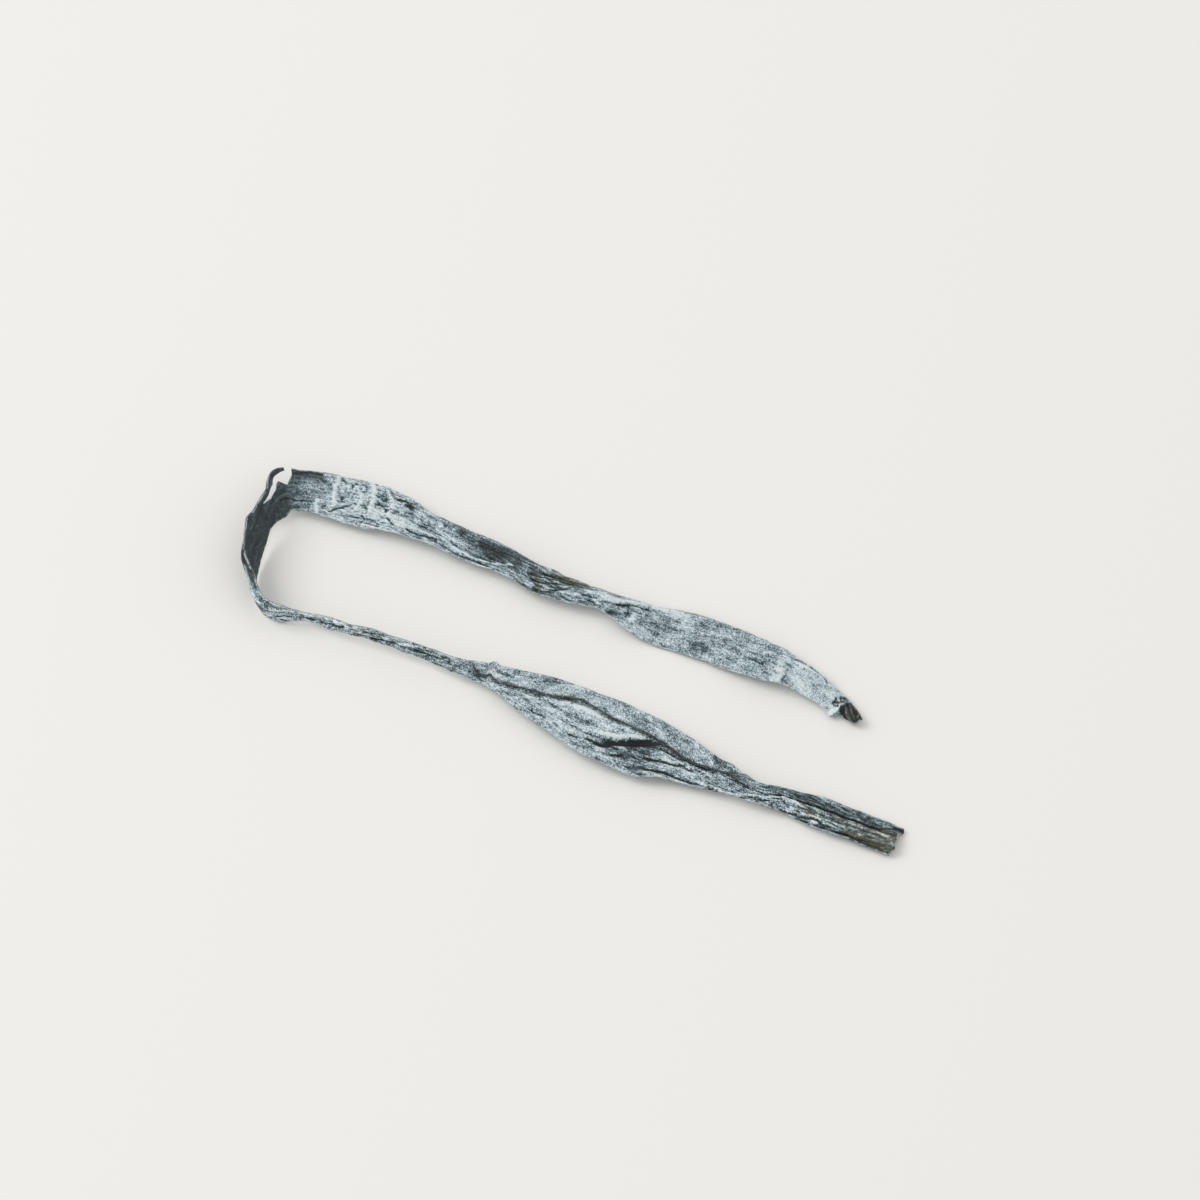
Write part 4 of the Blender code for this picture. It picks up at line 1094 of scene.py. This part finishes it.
def kelp_finish():
    """Dark kelp under a patchy salt bloom, olive where bare, with painted shade and highlights on
    its relief.
    """
    kelp = Finish("kelp")
    opened = kelp.attribute("opened", "Vector")
    names = ("ridge", "margin", "bloom", "pale", "olive", "wrinkled")
    ridge, margin, bloom, pale, bare, wrinkled = (kelp.attribute(name) for name in names)
    cloud = kelp.noise(opened, (0.10, 0.22, 1.0), 1.0, 3.0, 0.6)
    streak = kelp.noise(opened, (0.20, 1.3, 1.0), 1.0, 3.0, 0.6)
    blotch = kelp.noise(opened, (0.42, 0.50, 1.0), 1.0, 2.0, 0.5)
    dots = kelp.noise(opened, (1.2, 1.5, 1.0), 1.0, 2.0, 0.65, 0.6)
    grain = kelp.noise(opened, (2.7, 3.3, 1.5), 1.0, 1.0, 0.5, 0.3)
    speck = grain.between(0.36, 0.64) - 0.5
    # The bloom lies in blotches, dots and grains; whatever stands out gets a painted highlight,
    # and whatever is sunk painted shade.
    strewn = 1.3 * (cloud - 0.5) + 0.6 * (blotch - 0.5) + 1.5 * (dots - 0.5) + 0.5 * speck
    strewn = strewn * (0.1 + 0.95 * bloom.between(0.12, 0.6))
    cover = bloom + strewn + wrinkled * (streak - 0.5) + 1.3 * ridge + pale
    stops = [(0.0, DARK_KELP_AND_SHADE), (0.24, DULL), (0.4, SLATE)]
    stops += [(0.56, HAZE), (0.74, PALE), (0.98, SALT)]
    colour = kelp.node("ShaderNodeValToRGB", {"stops": stops}, {0: cover})
    # Bare kelp is olive-brown, with cream flecks.
    patch = kelp.noise(opened, (0.25, 0.7, 1.0), 1.3, 3.0, 0.6)
    unshaded = pale.between(-0.5, -0.15)
    olive_part = (bare + 0.9 * (patch - 0.5)).between(0.25, 0.8) * (1.0 - cover.between(0.5, 0.95))
    colour = kelp.mix(olive_part * (0.15 + 0.5 * unshaded), colour, OLIVE)
    fleck = kelp.noise(opened, (0.7, 2.2, 1.0), 1.3, 2.0, 0.6)
    cream_part = (fleck + 0.25 * pale).between(0.58, 0.68) * bare.between(0.15, 0.7) * unshaded
    colour = kelp.mix(cream_part * 0.8, colour, CREAM)
    # Creases get painted shade, and thin dark threads run along the wrinkled blade.
    line = 1.0 - (abs(streak - 0.47) / 0.018).between(0.3, 1.0)
    crease = (0.0 - ridge).between(0.08, 0.5)
    crease_shade_and_threads = 1.0 - (1.0 - 0.75 * crease) * (1.0 - 0.6 * line * wrinkled.between(0.3, 1.2))
    colour = kelp.mix(crease_shade_and_threads, colour, DARK_KELP_AND_SHADE)
    # The margin is a thin pale line, broken along its run.
    broken = kelp.noise(opened, (0.5, 0.2, 1.0), 1.0, 2.0, 0.5)
    rim = (1.0 - margin.between(0.2, 0.65)) * broken.between(0.42, 0.6) * unshaded
    colour = kelp.mix(rim * 0.6, colour, SALT)
    kelp.feed(kelp.shader.inputs["Base Color"], colour)
    kelp.feed(kelp.shader.inputs["Roughness"], 0.6 + 0.32 * cover.between(0.2, 0.9))
    kelp.shader.inputs["Specular IOR Level"].default_value = 0.35
    height = 0.6 * dots + 0.35 * grain + 0.5 * streak * wrinkled + 0.4 * blotch
    values = {"Height": height, "Strength": 0.8, "Distance": BUMP_DEPTH}
    kelp.feed(kelp.shader.inputs["Normal"], kelp.node("ShaderNodeBump", {}, values))
    return kelp.material


def floor_finish():
    """A plain pale floor."""
    floor = Finish("floor")
    floor.shader.inputs["Base Color"].default_value = paint(243, 242, 239)
    floor.shader.inputs["Roughness"].default_value = 0.9
    floor.shader.inputs["Specular IOR Level"].default_value = 0.1
    return floor.material


def plan_to_scene(shift):
    """The plan as seen from the front, in millimetres, into the scene, in metres."""
    turn = Matrix.Rotation(math.radians(PLAN_TURN), 4, "Z")
    move = Matrix.Translation(Vector((shift[0], shift[1], -shift[2])))
    return Matrix.Scale(MM, 4) @ move @ turn


def make_camera(shift):
    """The camera at the photograph's angle, and the point that it looks at."""
    down = math.radians(VIEW_DOWN)
    look = Vector((0.0, math.cos(down), -math.sin(down)))
    up = Vector((0.0, math.sin(down), math.cos(down)))
    right = (PHOTO_SIZE / 2 - PLAN_ORIGIN[0]) * MM_PER_PIXEL
    above = (PLAN_ORIGIN[1] - PHOTO_SIZE / 2) * MM_PER_PIXEL
    plan = plan_to_scene(shift)
    target = plan @ Vector((right, above / math.sin(down), 0.0))
    turn = plan.to_3x3().normalized()
    look, up = turn @ look, turn @ up
    camera = bpy.data.objects.new("camera", bpy.data.cameras.new("camera"))
    bpy.context.scene.collection.objects.link(camera)
    camera.data.sensor_width = SENSOR
    camera.data.lens = SENSOR * DISTANCE / (PHOTO_SIZE * MM_PER_PIXEL * MM)
    camera.data.clip_end = 50.0
    camera.location = target - look * DISTANCE
    side = look.cross(up)
    camera.rotation_euler = Matrix((side, up, -look)).transposed().to_euler()
    bpy.context.scene.camera = camera
    return target


def make_floor():
    bpy.ops.object.select_all(action="DESELECT")
    bpy.ops.mesh.primitive_plane_add(size=FLOOR_SIZE)
    floor = bpy.context.object
    floor.name = "floor"
    floor.data.materials.append(floor_finish())


def light_scene(target):
    """One soft square light from the left, and an even sky."""
    turn = Matrix.Rotation(math.radians(PLAN_TURN), 3, "Z")
    direction = turn @ Vector(KEY_DIRECTION).normalized()
    light = bpy.data.objects.new("key", bpy.data.lights.new("key", "AREA"))
    bpy.context.scene.collection.objects.link(light)
    light.data.size = KEY_SIZE
    light.data.energy = KEY_POWER
    light.data.color = KEY_COLOUR
    light.location = target + direction * KEY_DISTANCE
    light.rotation_euler = direction.to_track_quat("Z", "Y").to_euler()
    world = bpy.data.worlds.new("studio")
    bpy.context.scene.world = world
    world.use_nodes = True
    sky = world.node_tree.nodes["Background"]
    sky.inputs["Color"].default_value = SKY_COLOUR
    sky.inputs["Strength"].default_value = SKY_STRENGTH


bpy.context.scene.view_settings.view_transform = "Standard"
strip, shift = make_blade()
strip.data.materials.clear()
strip.data.materials.append(kelp_finish())
bpy.ops.object.shade_smooth()
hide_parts("kelp_strip")
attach(strip, "root")
make_floor()
target = make_camera(shift)
light_scene(target)
